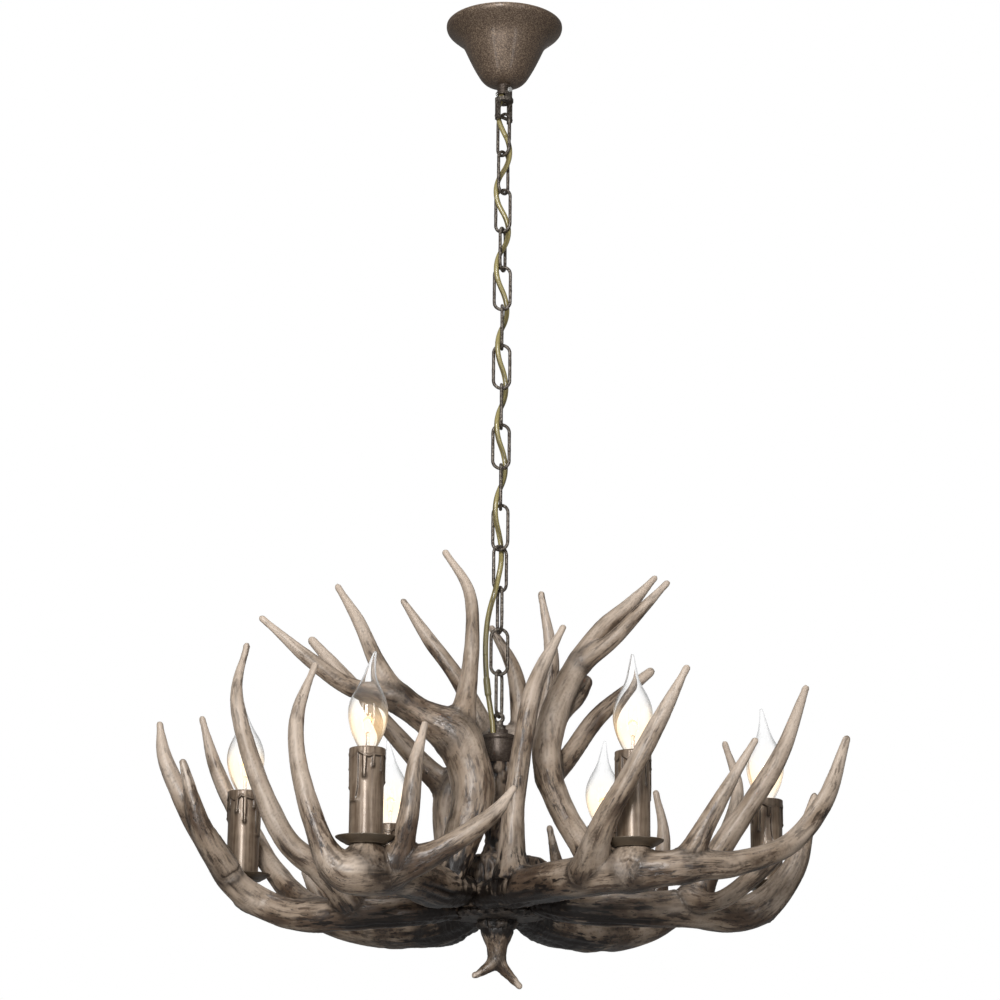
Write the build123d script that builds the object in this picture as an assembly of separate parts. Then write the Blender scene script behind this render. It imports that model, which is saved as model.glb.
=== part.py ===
from build123d import *
import math
import os
from dataclasses import dataclass, field

# Antler chandelier: six candle lamps on six lower antlers, three upper antlers, a hub on a centre rod,
# and a chain with its cord up to a ceiling canopy. Sizes in mm. The origin is on the ceiling plane at
# the middle of the bracket, +Z is up, +X is to the right and +Y points away from the viewer.

SEAT_GAP = 0.15  # between pieces that rest on each other
FIT_GAP = 0.2  # between a fixed shaft and its hole, on the radius
TURN_GAP = 0.1  # between a turning shaft and its hole, on the radius

# Ceiling plate, canopy and neck
BRACKET_LENGTH, BRACKET_WIDTH, BRACKET_THICK = 104.0, 20.0, 2.0
BRACKET_DROP = 16.0  # how far the middle of the bracket hangs under the ceiling
BRACKET_FLAT, BRACKET_SLOPE = 16.0, 8.0  # length of each end on the ceiling, and of the slope beside it
CEILING_SCREW_SPACING, CEILING_SCREW_R = 88.0, 2.6
CANOPY_DEPTH, CANOPY_WALL = 68.0, 1.4
CANOPY_SHAPE = (  # radius, share of the depth
    (61, 0), (61, 0.044), (46, 0.294), (40, 0.515), (27, 0.853), (18, 0.985),
)
NIPPLE_R, NIPPLE_BORE_R = 4.8, 3.4
NIPPLE_TOP_Z, NIPPLE_BELOW = -10.0, 4.5  # its top, and how far it comes out under the canopy
NUT_ACROSS_R, NUT_HEIGHT = 8.0, 4.0
COLLAR_R, COLLAR_HEIGHT, COLLAR_FLAT = 7.0, 12.0, 6.0
TERMINAL_LENGTH, TERMINAL_WIDTH, TERMINAL_HEIGHT, TERMINAL_X = 20.0, 13.0, 9.0, 25.0

# Yoke under the neck: ears on two pins above a round shelf, and two legs that hold the bar
YOKE_TURN = -45.0  # direction of the pins in plan, in degrees from +X
PIN_Z = -CANOPY_DEPTH - 8.0
PIN_R, PIN_HEAD_R, PIN_HEAD_HEIGHT, PIN_SINK = 1.6, 3.0, 1.6, 2.0
EAR_R, EAR_THICK, EAR_GAP = 4.4, 2.2, 0.3
SHELF_R, SHELF_TOP_Z, SHELF_THICK = 10.3, PIN_Z - 8.6, 4.0
CORD_SLOT_TURN, CORD_SLOT_HALF = 180.0, 3.1  # slot in the shelf, open on the left
BAR_R, BAR_Z, BAR_HEAD_R, BAR_HEAD_THICK = 2.0, PIN_Z - 30.2, 2.9, 1.2
LEG_THICK, LEG_WIDTH, LEG_OUTSIDE, LEG_Z, TAIL_Z, TAIL_WIDTH = 1.7, 7.0, 9.7, BAR_Z - 3.8, BAR_Z - 22.8, 3.5

# Chain
LINK_LENGTH, LINK_WIDTH, WIRE_R, LINK_GAP = 50.65, 20.5, 1.75, 0.25
FIRST_LINK_TOP_Z = BAR_Z + BAR_R + 0.3 + 2 * WIRE_R
LINK_TURNS = (-45, 54, 153, 252, 351, 450, 540, 630, 720, 810, 875, 940, 1005, 1085, 1150)
LINK_END_STEPS = 3  # straight pieces in each rounded end, the middle one level
UPPER_LINKS, LOWER_LINKS = 7, 14  # the last link of the upper and of the lower group

# Supply cord: from the ceiling nipple through the links to the twelfth, then outside them to the cap
CORD_R, CORD_SIDES = 2.75, 5
CORD_START = ((0.0, 0.0, -24.0), (0.0, 0.0, PIN_Z - 3.0), (-10.0, 0.0, PIN_Z - 27.0))
CORD_WEAVE = (  # direction in plan and reach of the cord's points, one where each two links meet
    (4.5, 13.0), (193.5, 14.5), (22.5, 13.5), (211.5, 14.5), (40.5, 13.5), (225, 13.0),
    (45, 13.0), (225, 13.0), (45, 13.0), (228, 13.5), (76, 14.5), (258, 15.0),
)
CORD_TAIL = (  # heights as on the fixture
    (-11.6, -7.0, -652.0), (-14.2, -3.4, -677.0), (-14.0, -3.4, -701.0), (-12.2, -4.6, -727.0),
    (-8.6, -6.4, -750.0), (-5.2, -7.4, -772.0), (-5.2, -7.2, -795.0),
)
SHRINK_R, SHRINK_TOP_Z, SHRINK_BOTTOM_Z = 3.6, -720.0, -734.0  # heights that its middle lies between

# Fixture: its heights, and the lamps' and antlers', are drawn with the last link's lower wire at HANG_Z
HANG_Z = -756.9
NOTCH_DEPTH, COVER_ROOM_DEPTH = 40.0, 30.0  # of the cord's notch, and of the room left for the hub's cover

# Loop, collar, cap, rod, stem, hub and finial
EYE_R, EYE_HOLE_R, EYE_THICK, EYE_DROP, NECK_WIDTH = 5.9, 3.3, 4.5, 1.2, 8.0
LOOP_BASE_R, LOOP_BASE_TOP_Z, LOOP_BASE_BOTTOM_Z, LOOP_STUB_R, LOOP_STUB_LENGTH = 7.0, -766.0, -770.5, 3.0, 12.0
COLLAR_RING_R, COLLAR_RING_BOTTOM_Z, GRIP_R, GRIP_LENGTH = 9.0, -776.8, 1.5, 5.5
CORD_NOTCH_X, CORD_NOTCH_Y, CORD_NOTCH_R = -5.2, -7.2, 3.2
CAP_PROFILE = ((5.2, -777.0), (16, -777.0), (16, -781), (14.8, -783), (15.2, -803.8))
CAP_WALL = 1.4
ROD_R, ROD_BORE_R, ROD_BOTTOM_Z = 4.8, 3.3, -967.5
STEM_PROFILE = ((13.5, -804), (15, -816), (13, -838), (14.2, -862), (13.4, -882), (17, -899.8))
HUB_PROFILE = ((46, -900), (50, -906), (49, -926), (50.5, -944), (47, -952))
BARK_DEPTH, HUB_SIDES, HUB_CAVITY_R, HUB_CAVITY_TOP_Z = 1.8, 20, 31.0, -909.0
COVER_PROFILE = ((47, -952.15), (48.5, -955), (44, -960), (22, -961.5))
COVER_TOP_R = 5.2
FINIAL_PROFILE = ((9, -961.65), (20, -963), (20.5, -967), (15, -971), (9, -982), (7.2, -996), (8, -1004))
FINIAL_PRONGS = (
    ((-1, 0, -1000, 7.5), (-8, -2, -1008, 6), (-17, -4, -1013, 4.2), (-22, -5, -1016, 2)),
    ((1, 0, -1000, 7.5), (9, 1, -1011, 6.5), (17, 2, -1020, 4.6), (23, 3, -1026, 2)),
)
CONNECTOR_LENGTH, CONNECTOR_WIDTH, CONNECTOR_HEIGHT, CONNECTOR_X = 12.0, 22.0, 10.0, 15.0
BOLT_R, BOLT_HEAD_R, BOLT_HEAD_HEIGHT, BOLT_REACH, BOLT_LOW_Z = 2.5, 4.5, 3.0, 17.0, -944.0

# Lamps: each stands on the flat seat of its antler
SLEEVE_R, SLEEVE_WALL, SLEEVE_LENGTH, SLEEVE_SIDES = 16.2, 1.5, 88.0, 15
WAX_THICK, WAX_RUNS = 1.0, (26, 9, 14, 40, 12)  # lengths of the runs of wax round the top, in turn
PAN_R, PAN_FLOOR_R, PAN_DEPTH, PAN_WALL = 28.0, 17.5, 6.5, 1.3
HOLDER_R, HOLDER_TOP_R, HOLDER_TOP_DROP, HOLDER_SIDES = 13.0, 10.5, 10.0, 8
SOCKET_R, BULB_DROP = 7.2, 6.0  # the glass starts this far under the sleeve's top
LAMP_NIPPLE_R, LAMP_NIPPLE_BORE_R, LAMP_NIPPLE_SINK, LAMP_NIPPLE_RISE = 4.8, 3.2, 12.0, 9.0
SCREW_BASE_R, SCREW_BASE_LENGTH = 6.8, 21.0
BULB_PROFILE = ((6.3, 0), (14.5, 24), (17.5, 42), (14, 63), (6, 84), (1.5, 98))
BULB_WALL, BULB_SIDES, FLAME_START = 1.0, 8, 56.0
POST_R, POST_TIP_R, POST_HEIGHT = 3.0, 1.5, 36.0

ROUND_SIDES = 12  # flats round a pan or a turned piece
SMALL_SIDES = 12  # flats round a rod or a holder
BEAM_SIDES, TINE_SIDES = 8, 6
BEAM_STEPS, TINE_STEPS = 1, 1  # sections for each knot
CANOPY_SIDES, LAMP_NIPPLE_SIDES = 20, 6


@dataclass(frozen=True)
class Tine:
    """Knots (x, y, z, half thickness) from inside the beam to the tip."""

    knots: tuple


@dataclass(frozen=True)
class Lamp:
    """A candle: the middle of its seat, and how thick the pedestal under the seat is."""

    x: float
    y: float
    top_z: float  # top of the sleeve
    root: tuple  # where the pedestal leaves the beam: x, y, z, half thickness
    seat_r: float
    flame_turn: float  # direction in plan in which the bulb's tip leans
    flame_lean: float

    @property
    def seat_z(self):
        """Height of the pedestal's flat top, under the pan's floor."""
        return self.top_z - SLEEVE_LENGTH - SEAT_GAP - PAN_WALL - SEAT_GAP


@dataclass(frozen=True)
class Antler:
    """A beam with its tines, all as knots (x, y, z, half thickness)."""

    name: str
    beam: tuple
    tines: tuple = ()
    lamp: Lamp = None
    bolt_turn: float = 0.0  # direction in plan of the bolt into its root


LOWER_ANTLERS = (
    Antler(
        "lower_antler_front_left",
        bolt_turn=233,
        beam=(
            (-26, -30, -936, 14), (-60, -95, -939, 20), (-91, -155, -935, 20), (-122, -200, -939, 22),
            (-147, -212, -937, 18), (-163, -216, -912, 11.5), (-184, -213, -847, 8.6),
            (-188, -206, -795, 7), (-173, -200, -746, 2.5),
        ),
        tines=(
            Tine(((-100, -190, -937, 17), (-53, -197, -918, 11.5), (-7, -198, -887, 8.2), (14, -194, -860, 3))),
            Tine(((-94, -196, -930, 14), (-83, -210, -892, 10), (-77, -210, -840, 7.6), (-69, -208, -803, 2.5))),
        ),
        lamp=Lamp(-122, -204, -825, (-118, -203, -935, 17), 13, 20, 6),
    ),
    Antler(
        "lower_antler_front_right",
        bolt_turn=270,
        beam=(
            (-16, -40, -942, 14), (31, -92, -938, 18.5), (88, -175, -938, 19), (131, -208, -937, 17.5),
            (177, -212, -933, 14.5), (224, -194, -927, 12), (274, -160, -905, 10.2), (312, -130, -858, 9),
            (337, -105, -795, 4),
        ),
        tines=(
            Tine(((14, -80, -930, 20), (14, -80, -900, 13.5), (15, -80, -864, 11), (24, -76, -794, 10),
                  (37, -72, -733, 8.5), (63, -68, -679, 3))),
            Tine(((84, -180, -934, 17), (92, -222, -908, 12.5), (101, -236, -888, 11), (119, -246, -857, 9.5),
                  (148, -252, -803, 7.6), (172, -256, -757, 3))),
            Tine(((170, -211, -934, 13), (200, -216, -880, 8), (237, -222, -818, 3.5))),
        ),
        lamp=Lamp(125, -204, -826, (126, -206, -935, 17), 15, 100, 1),
    ),
    Antler(
        "lower_antler_left",
        bolt_turn=204,
        beam=(
            (-38, -10, -949, 13), (-75, -42, -955, 15.5), (-114, -56, -960, 15.5), (-153, -50, -962, 15),
            (-193, -34, -962, 15), (-229, -20, -950, 14.5), (-259, -30, -930, 13.5), (-278, -42, -902, 12.5),
            (-298, -46, -872, 11.5), (-315, -48, -841, 9.5), (-330, -48, -808, 7.2), (-336, -46, -776, 3),
        ),
        tines=(
            Tine(((-264, -40, -920, 12), (-290, -60, -878, 10), (-309, -68, -817, 4))),
            Tine(((-172, -38, -960, 14), (-197, 0, -942, 13), (-220, 24, -916, 11.5), (-256, 36, -867, 9),
                  (-287, 40, -807, 7.6), (-304, 42, -754, 3))),
            Tine(((-138, -54, -958, 15), (-169, -76, -924, 12.8), (-204, -85, -895, 11.6),
                  (-233, -88, -837, 9.6), (-257, -82, -757, 6.8), (-250, -72, -701, 2.4))),
        ),
        lamp=Lamp(-254, 0, -835, (-244, -16, -944, 12), 9, 200, 9),
    ),
    Antler(
        "lower_antler_right",
        bolt_turn=325,
        beam=(
            (34, -22, -943, 13.5), (80, -60, -953, 17.5), (138, -66, -956, 17.5), (187, -55, -956, 17.5),
            (233, -32, -957, 17.5), (264, -28, -945, 16), (288, -38, -917, 12.5), (299, -38, -889, 10),
            (313, -32, -840, 4),
        ),
        tines=(
            Tine(((192, -55, -945, 15), (214, -63, -901, 12), (251, -68, -847, 10), (278, -70, -802, 8.4),
                  (303, -66, -738, 3.5))),
            Tine(((182, -62, -945, 12), (214, -90, -950, 9), (256, -112, -919, 8.4), (287, -116, -888, 3))),
        ),
        lamp=Lamp(268, 0, -839, (262, -14, -950, 14), 11, 170, 3),
    ),
    Antler(
        "lower_antler_back_left",
        bolt_turn=119,
        beam=(
            (-18, 34, -949, 14), (-48, 85, -958, 18.5), (-91, 140, -957, 19.5), (-130, 195, -949, 19.5),
            (-168, 214, -941, 17.5), (-203, 214, -927, 13.5), (-240, 210, -885, 10), (-262, 205, -838, 4),
        ),
        tines=(
            Tine(((-170, 212, -936, 12), (-190, 206, -914, 9), (-206, 200, -890, 4))),
            Tine(((-62, 100, -956, 14), (-48, 112, -896, 10.5), (-40, 124, -842, 8), (-34, 130, -800, 4))),
        ),
        lamp=Lamp(-116, 204, -838, (-122, 198, -948, 17), 13, 150, 5),
    ),
    Antler(
        "lower_antler_back_right",
        bolt_turn=59.5,
        beam=(
            (20, 34, -949, 14), (49, 85, -958, 18.5), (92, 140, -958, 20.5), (130, 190, -950, 20.5),
            (165, 212, -940, 18.5), (198, 212, -918, 15), (224, 200, -886, 11.8), (243, 190, -851, 9.1),
            (256, 176, -802, 6.9), (242, 165, -754, 3),
        ),
        tines=(
            Tine(((166, 210, -934, 14), (178, 205, -852, 7.5), (170, 200, -802, 3))),
            Tine(((78, 118, -952, 13), (62, 118, -890, 7), (54, 120, -852, 3))),
        ),
        lamp=Lamp(113, 204, -837, (124, 194, -950, 17), 13, 60, 5),
    ),
)

UPPER_ANTLERS = (
    Antler(
        "upper_antler_front_left",
        beam=(
            (-46, -76, -932, 13), (-35, -73, -892, 18), (-24, -72, -852, 21), (-30, -72, -815, 21.5),
            (-44, -74, -788, 22), (-77, -82, -770, 15.5), (-103, -88, -750, 13), (-122, -88, -716, 8.6),
            (-139, -82, -678, 6.6), (-161, -74, -641, 3),
        ),
        tines=(
            Tine(((-42, -73, -792, 20), (-33, -71, -753, 11), (-27, -65, -692, 7.6), (-31, -58, -640, 6),
                  (-55, -50, -599, 3))),
            Tine(((-98, -88, -756, 13), (-145, -100, -747, 9.5), (-184, -108, -722, 7.4), (-232, -112, -682, 3))),
        ),
    ),
    Antler(
        "upper_antler_right",
        beam=(
            (98, -48, -936, 13), (84, -36, -893, 13), (66, -25, -860, 13), (52, -15, -823, 13.5),
            (49, -6, -787, 14.6), (59, 0, -744, 13.6), (77, 5, -707, 12.2), (103, 8, -667, 10.2),
            (133, 10, -638, 7.7), (159, 12, -609, 3),
        ),
        tines=(
            Tine(((82, 4, -701, 10), (112, -10, -681, 8.1), (140, -12, -652, 6.6), (170, -12, -620, 3))),
            Tine(((56, 4, -756, 11), (76, 22, -733, 11), (88, 26, -716, 8))),
            Tine(((49, -4, -822, 12), (67, 10, -801, 10.4), (103, 22, -750, 9.4), (155, 32, -703, 5))),
        ),
    ),
    Antler(
        "upper_antler_back",
        beam=(
            (-42, 64, -948, 14), (-52, 62, -873, 13.3), (-50, 62, -832, 15.4), (-29, 62, -799, 18.5),
            (-2, 62, -777, 18.5), (24, 60, -766, 14.4), (44, 57, -744, 10.5), (54, 50, -688, 8),
            (43, 45, -619, 3),
        ),
        tines=(
            Tine(((-50, 63, -822, 15), (-89, 72, -783, 10.8), (-161, 88, -701, 8.4), (-197, 95, -660, 5))),
            Tine(((-7, 63, -778, 15), (-39, 68, -711, 9.3), (-73, 72, -663, 7.3), (-101, 76, -621, 3.5))),
            Tine(((26, 60, -768, 12.5), (16, 61, -699, 8.3), (-8, 62, -652, 3.5))),
        ),
    ),
)


def plan_direction(degrees):
    """Unit vector in plan, at an angle from +X."""
    return Vector(math.cos(math.radians(degrees)), math.sin(math.radians(degrees)), 0)


def flat_face(points):
    """One flat face through the points."""
    return Face(Wire.make_polygon([Vector(*p) for p in points], close=True))


def is_flat(points):
    """Whether four points lie in one plane."""
    a, b, c, d = (Vector(*p) for p in points)
    normal = (b - a).cross(c - a)
    return normal.length > 1e-9 and abs(normal.normalized().dot(d - a)) < 1e-6


def skin(rings, ring_closed=False):
    """A solid with flat faces through rings of equally many points, capped unless the rings close."""
    faces = []
    pairs = list(zip(rings, rings[1:]))
    if ring_closed:
        pairs.append((rings[-1], rings[0]))
    else:
        faces += [flat_face(rings[0]), flat_face(rings[-1])]
    for one, other in pairs:
        for i in range(len(one)):
            j = (i + 1) % len(one)
            quad = (one[i], one[j], other[j], other[i])
            if is_flat(quad):
                faces.append(flat_face(quad))
            else:
                faces += [flat_face((quad[0], quad[1], quad[2])), flat_face((quad[0], quad[2], quad[3]))]
    solid = Solid(Shell(faces))
    return solid if solid.volume > 0 else Solid(Shell([-face for face in faces]))


def round_ring(x, y, z, radius, sides, ripple=0.0, turn=0.0):
    """A level ring of points round a vertical axis, each second one further in by the ripple."""
    ring = []
    for i in range(sides):
        angle = math.radians(turn) + 2 * math.pi * i / sides
        r = radius - ripple * (i % 2)
        ring.append((x + r * math.cos(angle), y + r * math.sin(angle), z))
    return ring


def turned(profile, sides, x=0.0, y=0.0, ripple=0.0):
    """A closed solid with flats, from (radius, z) pairs along its outside."""
    return skin([round_ring(x, y, z, r, sides, ripple) for r, z in profile])


def turned_ring(profile, sides, x=0.0, y=0.0):
    """A ring with flats, from the closed (radius, z) outline of its section."""
    rings = []
    for i in range(sides):
        angle = 2 * math.pi * i / sides
        rings.append([(x + r * math.cos(angle), y + r * math.sin(angle), z) for r, z in profile])
    return skin(rings, ring_closed=True)


def rod(radius, bottom_z, top_z, x=0.0, y=0.0, sides=ROUND_SIDES):
    """An upright prism with flats that touch the radius from outside."""
    ring_r = radius / math.cos(math.pi / sides)
    return skin([round_ring(x, y, z, ring_r, sides) for z in (bottom_z, top_z)])


def smooth_line(knots, steps):
    """Stations on a Catmull-Rom curve through the knots, each with its place and half thickness."""
    padded = [
        tuple(2 * a - b for a, b in zip(knots[0], knots[1])),
        *knots,
        tuple(2 * a - b for a, b in zip(knots[-1], knots[-2])),
    ]
    stations = []
    for p0, p1, p2, p3 in zip(padded, padded[1:], padded[2:], padded[3:]):
        for step in range(steps):
            t = step / steps
            stations.append(tuple(
                0.5 * (2 * b + (c - a) * t + (2 * a - 5 * b + 4 * c - d) * t**2 + (3 * b - a - 3 * c + d) * t**3)
                for a, b, c, d in zip(p0, p1, p2, p3)
            ))
    stations.append(tuple(knots[-1]))
    return stations


def branch(knots, sides, steps):
    """A tapering limb with flats along the knots, with a blunt rounded tip."""
    stations = smooth_line(knots, steps)
    places = [Vector(*s[:3]) for s in stations]
    radii = [s[3] for s in stations]
    end = (places[-1] - places[-2]).normalized()
    places.append(places[-1] + end * radii[-1] * 0.7)
    radii.append(radii[-1] * 0.6)
    rings, across = [], None
    for i, place in enumerate(places):
        along = (places[min(i + 1, len(places) - 1)] - places[max(i - 1, 0)]).normalized()
        if across is None:
            across = Vector(0, 0, 1) if abs(along.Z) < 0.8 else Vector(1, 0, 0)
        across = (across - along * across.dot(along)).normalized()
        up = along.cross(across)
        rings.append([
            tuple(place + (across * math.cos(a) + up * math.sin(a)) * radii[i])
            for a in (2 * math.pi * (k + 0.5) / sides for k in range(sides))
        ])
    return skin(rings)


def largest(shape):
    """The biggest solid of a cut shape."""
    return max(shape.solids(), key=lambda solid: solid.volume)


def pedestal(lamp):
    """The boss under a lamp: it leaves the beam and ends in a level seat."""
    x, y, z, r = lamp.root
    return skin([
        round_ring(x, y, z, r, BEAM_SIDES),
        round_ring(lamp.x, lamp.y, lamp.seat_z - 3, lamp.seat_r + 1.5, BEAM_SIDES),
        round_ring(lamp.x, lamp.y, lamp.seat_z, lamp.seat_r, BEAM_SIDES),
    ])


def lamp_space(lamp):
    """The room that a lamp takes above its seat, with a gap round its pan and sleeve."""
    gap = 2 * FIT_GAP
    return turned([
        (PAN_FLOOR_R + gap, lamp.seat_z),
        (PAN_R + gap, lamp.seat_z + PAN_DEPTH),
        (PAN_R + gap, lamp.seat_z + PAN_DEPTH + 2 * PAN_WALL),
        (SLEEVE_R + WAX_THICK + gap, lamp.seat_z + PAN_DEPTH + 8),
        (SLEEVE_R + WAX_THICK + gap, lamp.top_z),
    ], ROUND_SIDES, lamp.x, lamp.y)


def root_bolt(antler, gap=0.0):
    """A bolt from the hub's cavity into an antler's root, thicker by the gap."""
    out = plan_direction(antler.bolt_turn)
    bolt_z = max(antler.beam[0][2], BOLT_LOW_Z)
    start = out * (HUB_CAVITY_R - SEAT_GAP - BOLT_HEAD_HEIGHT) + Vector(0, 0, bolt_z)
    plane = Plane(origin=start, z_dir=out)
    shank_length = BOLT_HEAD_HEIGHT + HUB_PROFILE[1][0] + BOLT_REACH - HUB_CAVITY_R
    shank = extrude(plane * RegularPolygon(BOLT_R + gap, 6), shank_length + gap)
    head = extrude(plane * RegularPolygon(BOLT_HEAD_R + gap, 6), BOLT_HEAD_HEIGHT)
    return shank + head


def antler_solid(antler):
    """One antler: beam, tines and lamp pedestal in one piece, before it is cut against its neighbours."""
    solid = branch(antler.beam, BEAM_SIDES, BEAM_STEPS)
    for tine in antler.tines:
        solid += branch(tine.knots, TINE_SIDES, TINE_STEPS)
    if antler.lamp:
        lamp = antler.lamp
        sink_z = lamp.seat_z - LAMP_NIPPLE_SINK - SEAT_GAP
        solid += pedestal(lamp)
        solid -= lamp_space(lamp)
        solid -= rod(LAMP_NIPPLE_R + FIT_GAP, sink_z, lamp.seat_z + 1, lamp.x, lamp.y, LAMP_NIPPLE_SIDES)
    return solid


def add_antlers(parts):
    """Antlers cut against the hub, its cover, their bolts and each other, so that they meet face to face."""
    done = {}
    hub_room = turned([(r + SEAT_GAP, z) for r, z in HUB_PROFILE], HUB_SIDES)
    cover_r = COVER_PROFILE[1][0] + SEAT_GAP
    hub_bottom = HUB_PROFILE[-1][1]
    hub_room += turned([(cover_r, hub_bottom + SEAT_GAP), (cover_r, hub_bottom - COVER_ROOM_DEPTH)], HUB_SIDES)
    for antler in LOWER_ANTLERS + UPPER_ANTLERS:
        solid = antler_solid(antler) - hub_room
        if antler.lamp:
            solid -= root_bolt(antler, FIT_GAP)
        for other in done.values():
            solid -= other
        done[antler.name] = largest(solid)
    parts.update(done)


def inset(profile, wall):
    """The (radius, z) profile moved to the left of its direction by the wall, with mitred corners."""
    moved = []
    for i, (r, z) in enumerate(profile):
        normals = []
        for a, b in ((i - 1, i), (i, i + 1)):
            if a >= 0 and b < len(profile):
                dr, dz = profile[b][0] - profile[a][0], profile[b][1] - profile[a][1]
                length = math.hypot(dr, dz)
                normals.append((-dz / length, dr / length))
        nr = sum(n[0] for n in normals) / len(normals)
        nz = sum(n[1] for n in normals) / len(normals)
        scale = wall / (nr * nr + nz * nz)
        moved.append((r + nr * scale, z + nz * scale))
    return moved


def hexagon_nut(top_z, across_r, height, bore_r):
    """A flat nut whose hole fits a rod along Z."""
    nut = skin([round_ring(0, 0, z, across_r, 6) for z in (top_z, top_z - height)])
    return largest(nut - rod(bore_r, top_z - height - 1, top_z + 1, sides=SMALL_SIDES))


def cross_screw(place, out, shank_r, shank_length, head_r, head_height):
    """A round-headed screw with its head's seat at the place and its shank running inwards."""
    plane = Plane(origin=place, z_dir=out)
    head = extrude(plane * RegularPolygon(head_r, 8), head_height, taper=18)
    slot = extrude(plane.offset(head_height - 0.5) * Rectangle(2.4 * head_r, 0.6), 1)
    shank = extrude(plane.offset(-shank_length) * RegularPolygon(shank_r, 8), shank_length)
    return largest(head + shank - slot)


def add_ceiling(parts):
    """Bracket, canopy, nipple with its nuts, collar with its screw, and the terminal block."""
    half, low = BRACKET_LENGTH / 2, -BRACKET_DROP
    corners = ((half, 0.0), (half - BRACKET_FLAT, 0.0), (half - BRACKET_FLAT - BRACKET_SLOPE, low))
    shift = BRACKET_THICK * math.tan(math.atan2(BRACKET_DROP, BRACKET_SLOPE) / 2)
    under = ((half, -BRACKET_THICK), (corners[1][0] + shift, -BRACKET_THICK),
             (corners[2][0] + shift, low - BRACKET_THICK))
    outline = [(-x, z) for x, z in corners] + list(corners[::-1])
    outline += list(under) + [(-x, z) for x, z in under[::-1]]
    side_plane = Plane.XZ.offset(-BRACKET_WIDTH / 2)
    strap = extrude(side_plane * make_face(Polyline(*outline, close=True)), BRACKET_WIDTH)
    for side in (-1, 1):
        strap -= Location((side * CEILING_SCREW_SPACING / 2, 0, 0)) * Cylinder(CEILING_SCREW_R, 4 * BRACKET_THICK)
    strap -= rod(NIPPLE_R + FIT_GAP, low - 6, low + 6, sides=SMALL_SIDES)
    parts["ceiling_bracket"] = largest(strap)

    outside = [(r, -share * CANOPY_DEPTH) for r, share in CANOPY_SHAPE]
    outside.append((NIPPLE_R / math.cos(math.pi / SMALL_SIDES) + FIT_GAP, -CANOPY_DEPTH))
    parts["canopy"] = turned_ring(outside + inset(outside, -CANOPY_WALL)[::-1], CANOPY_SIDES)

    nipple_end = -CANOPY_DEPTH - NIPPLE_BELOW
    nipple = rod(NIPPLE_R, nipple_end, NIPPLE_TOP_Z, sides=SMALL_SIDES)
    parts["ceiling_nipple"] = largest(nipple - rod(NIPPLE_BORE_R, nipple_end - 1, NIPPLE_TOP_Z + 1, sides=8))
    over, below = low + SEAT_GAP + NUT_HEIGHT, low - BRACKET_THICK - SEAT_GAP
    parts["nipple_nuts"] = Compound(
        children=[hexagon_nut(z, NUT_ACROSS_R, NUT_HEIGHT, NIPPLE_R + TURN_GAP) for z in (over, below)]
    )

    top = -CANOPY_DEPTH - SEAT_GAP
    collar = rod(COLLAR_R, top - COLLAR_HEIGHT, top)
    collar -= rod(NIPPLE_R + TURN_GAP, nipple_end - SEAT_GAP, top + 1, sides=SMALL_SIDES)
    collar -= rod(CORD_R + 1.3, top - COLLAR_HEIGHT - 1, top, sides=8)
    pins = []
    for side in (-1, 1):
        out = plan_direction(YOKE_TURN) * side
        flat = Plane(origin=out * COLLAR_FLAT + Vector(0, 0, PIN_Z), z_dir=out)
        collar -= extrude(flat * Rectangle(3 * COLLAR_R, 2.4 * EAR_R), 5)
        hole = RegularPolygon(PIN_R + TURN_GAP, 8, major_radius=False)
        collar -= extrude(flat.offset(-PIN_SINK - SEAT_GAP) * hole, 5)
        seat = out * (COLLAR_FLAT + EAR_GAP + EAR_THICK + EAR_GAP) + Vector(0, 0, PIN_Z)
        length = PIN_SINK + EAR_THICK + 2 * EAR_GAP
        pins.append(cross_screw(seat, out, PIN_R, length, PIN_HEAD_R, PIN_HEAD_HEIGHT))
    parts["neck_collar"] = largest(collar)
    parts["yoke_pins"] = Compound(children=pins)

    block = Box(TERMINAL_LENGTH, TERMINAL_WIDTH, TERMINAL_HEIGHT)
    for x in (-6, 0, 6):
        bore = Plane.XZ.offset(-TERMINAL_WIDTH) * Location((x, 0)) * RegularPolygon(1.8, 6)
        block -= extrude(bore, 2 * TERMINAL_WIDTH)
    place = Location((TERMINAL_X, 0, low - BRACKET_THICK - SEAT_GAP - TERMINAL_HEIGHT / 2))
    parts["terminal_block"] = largest(place * block)


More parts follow.
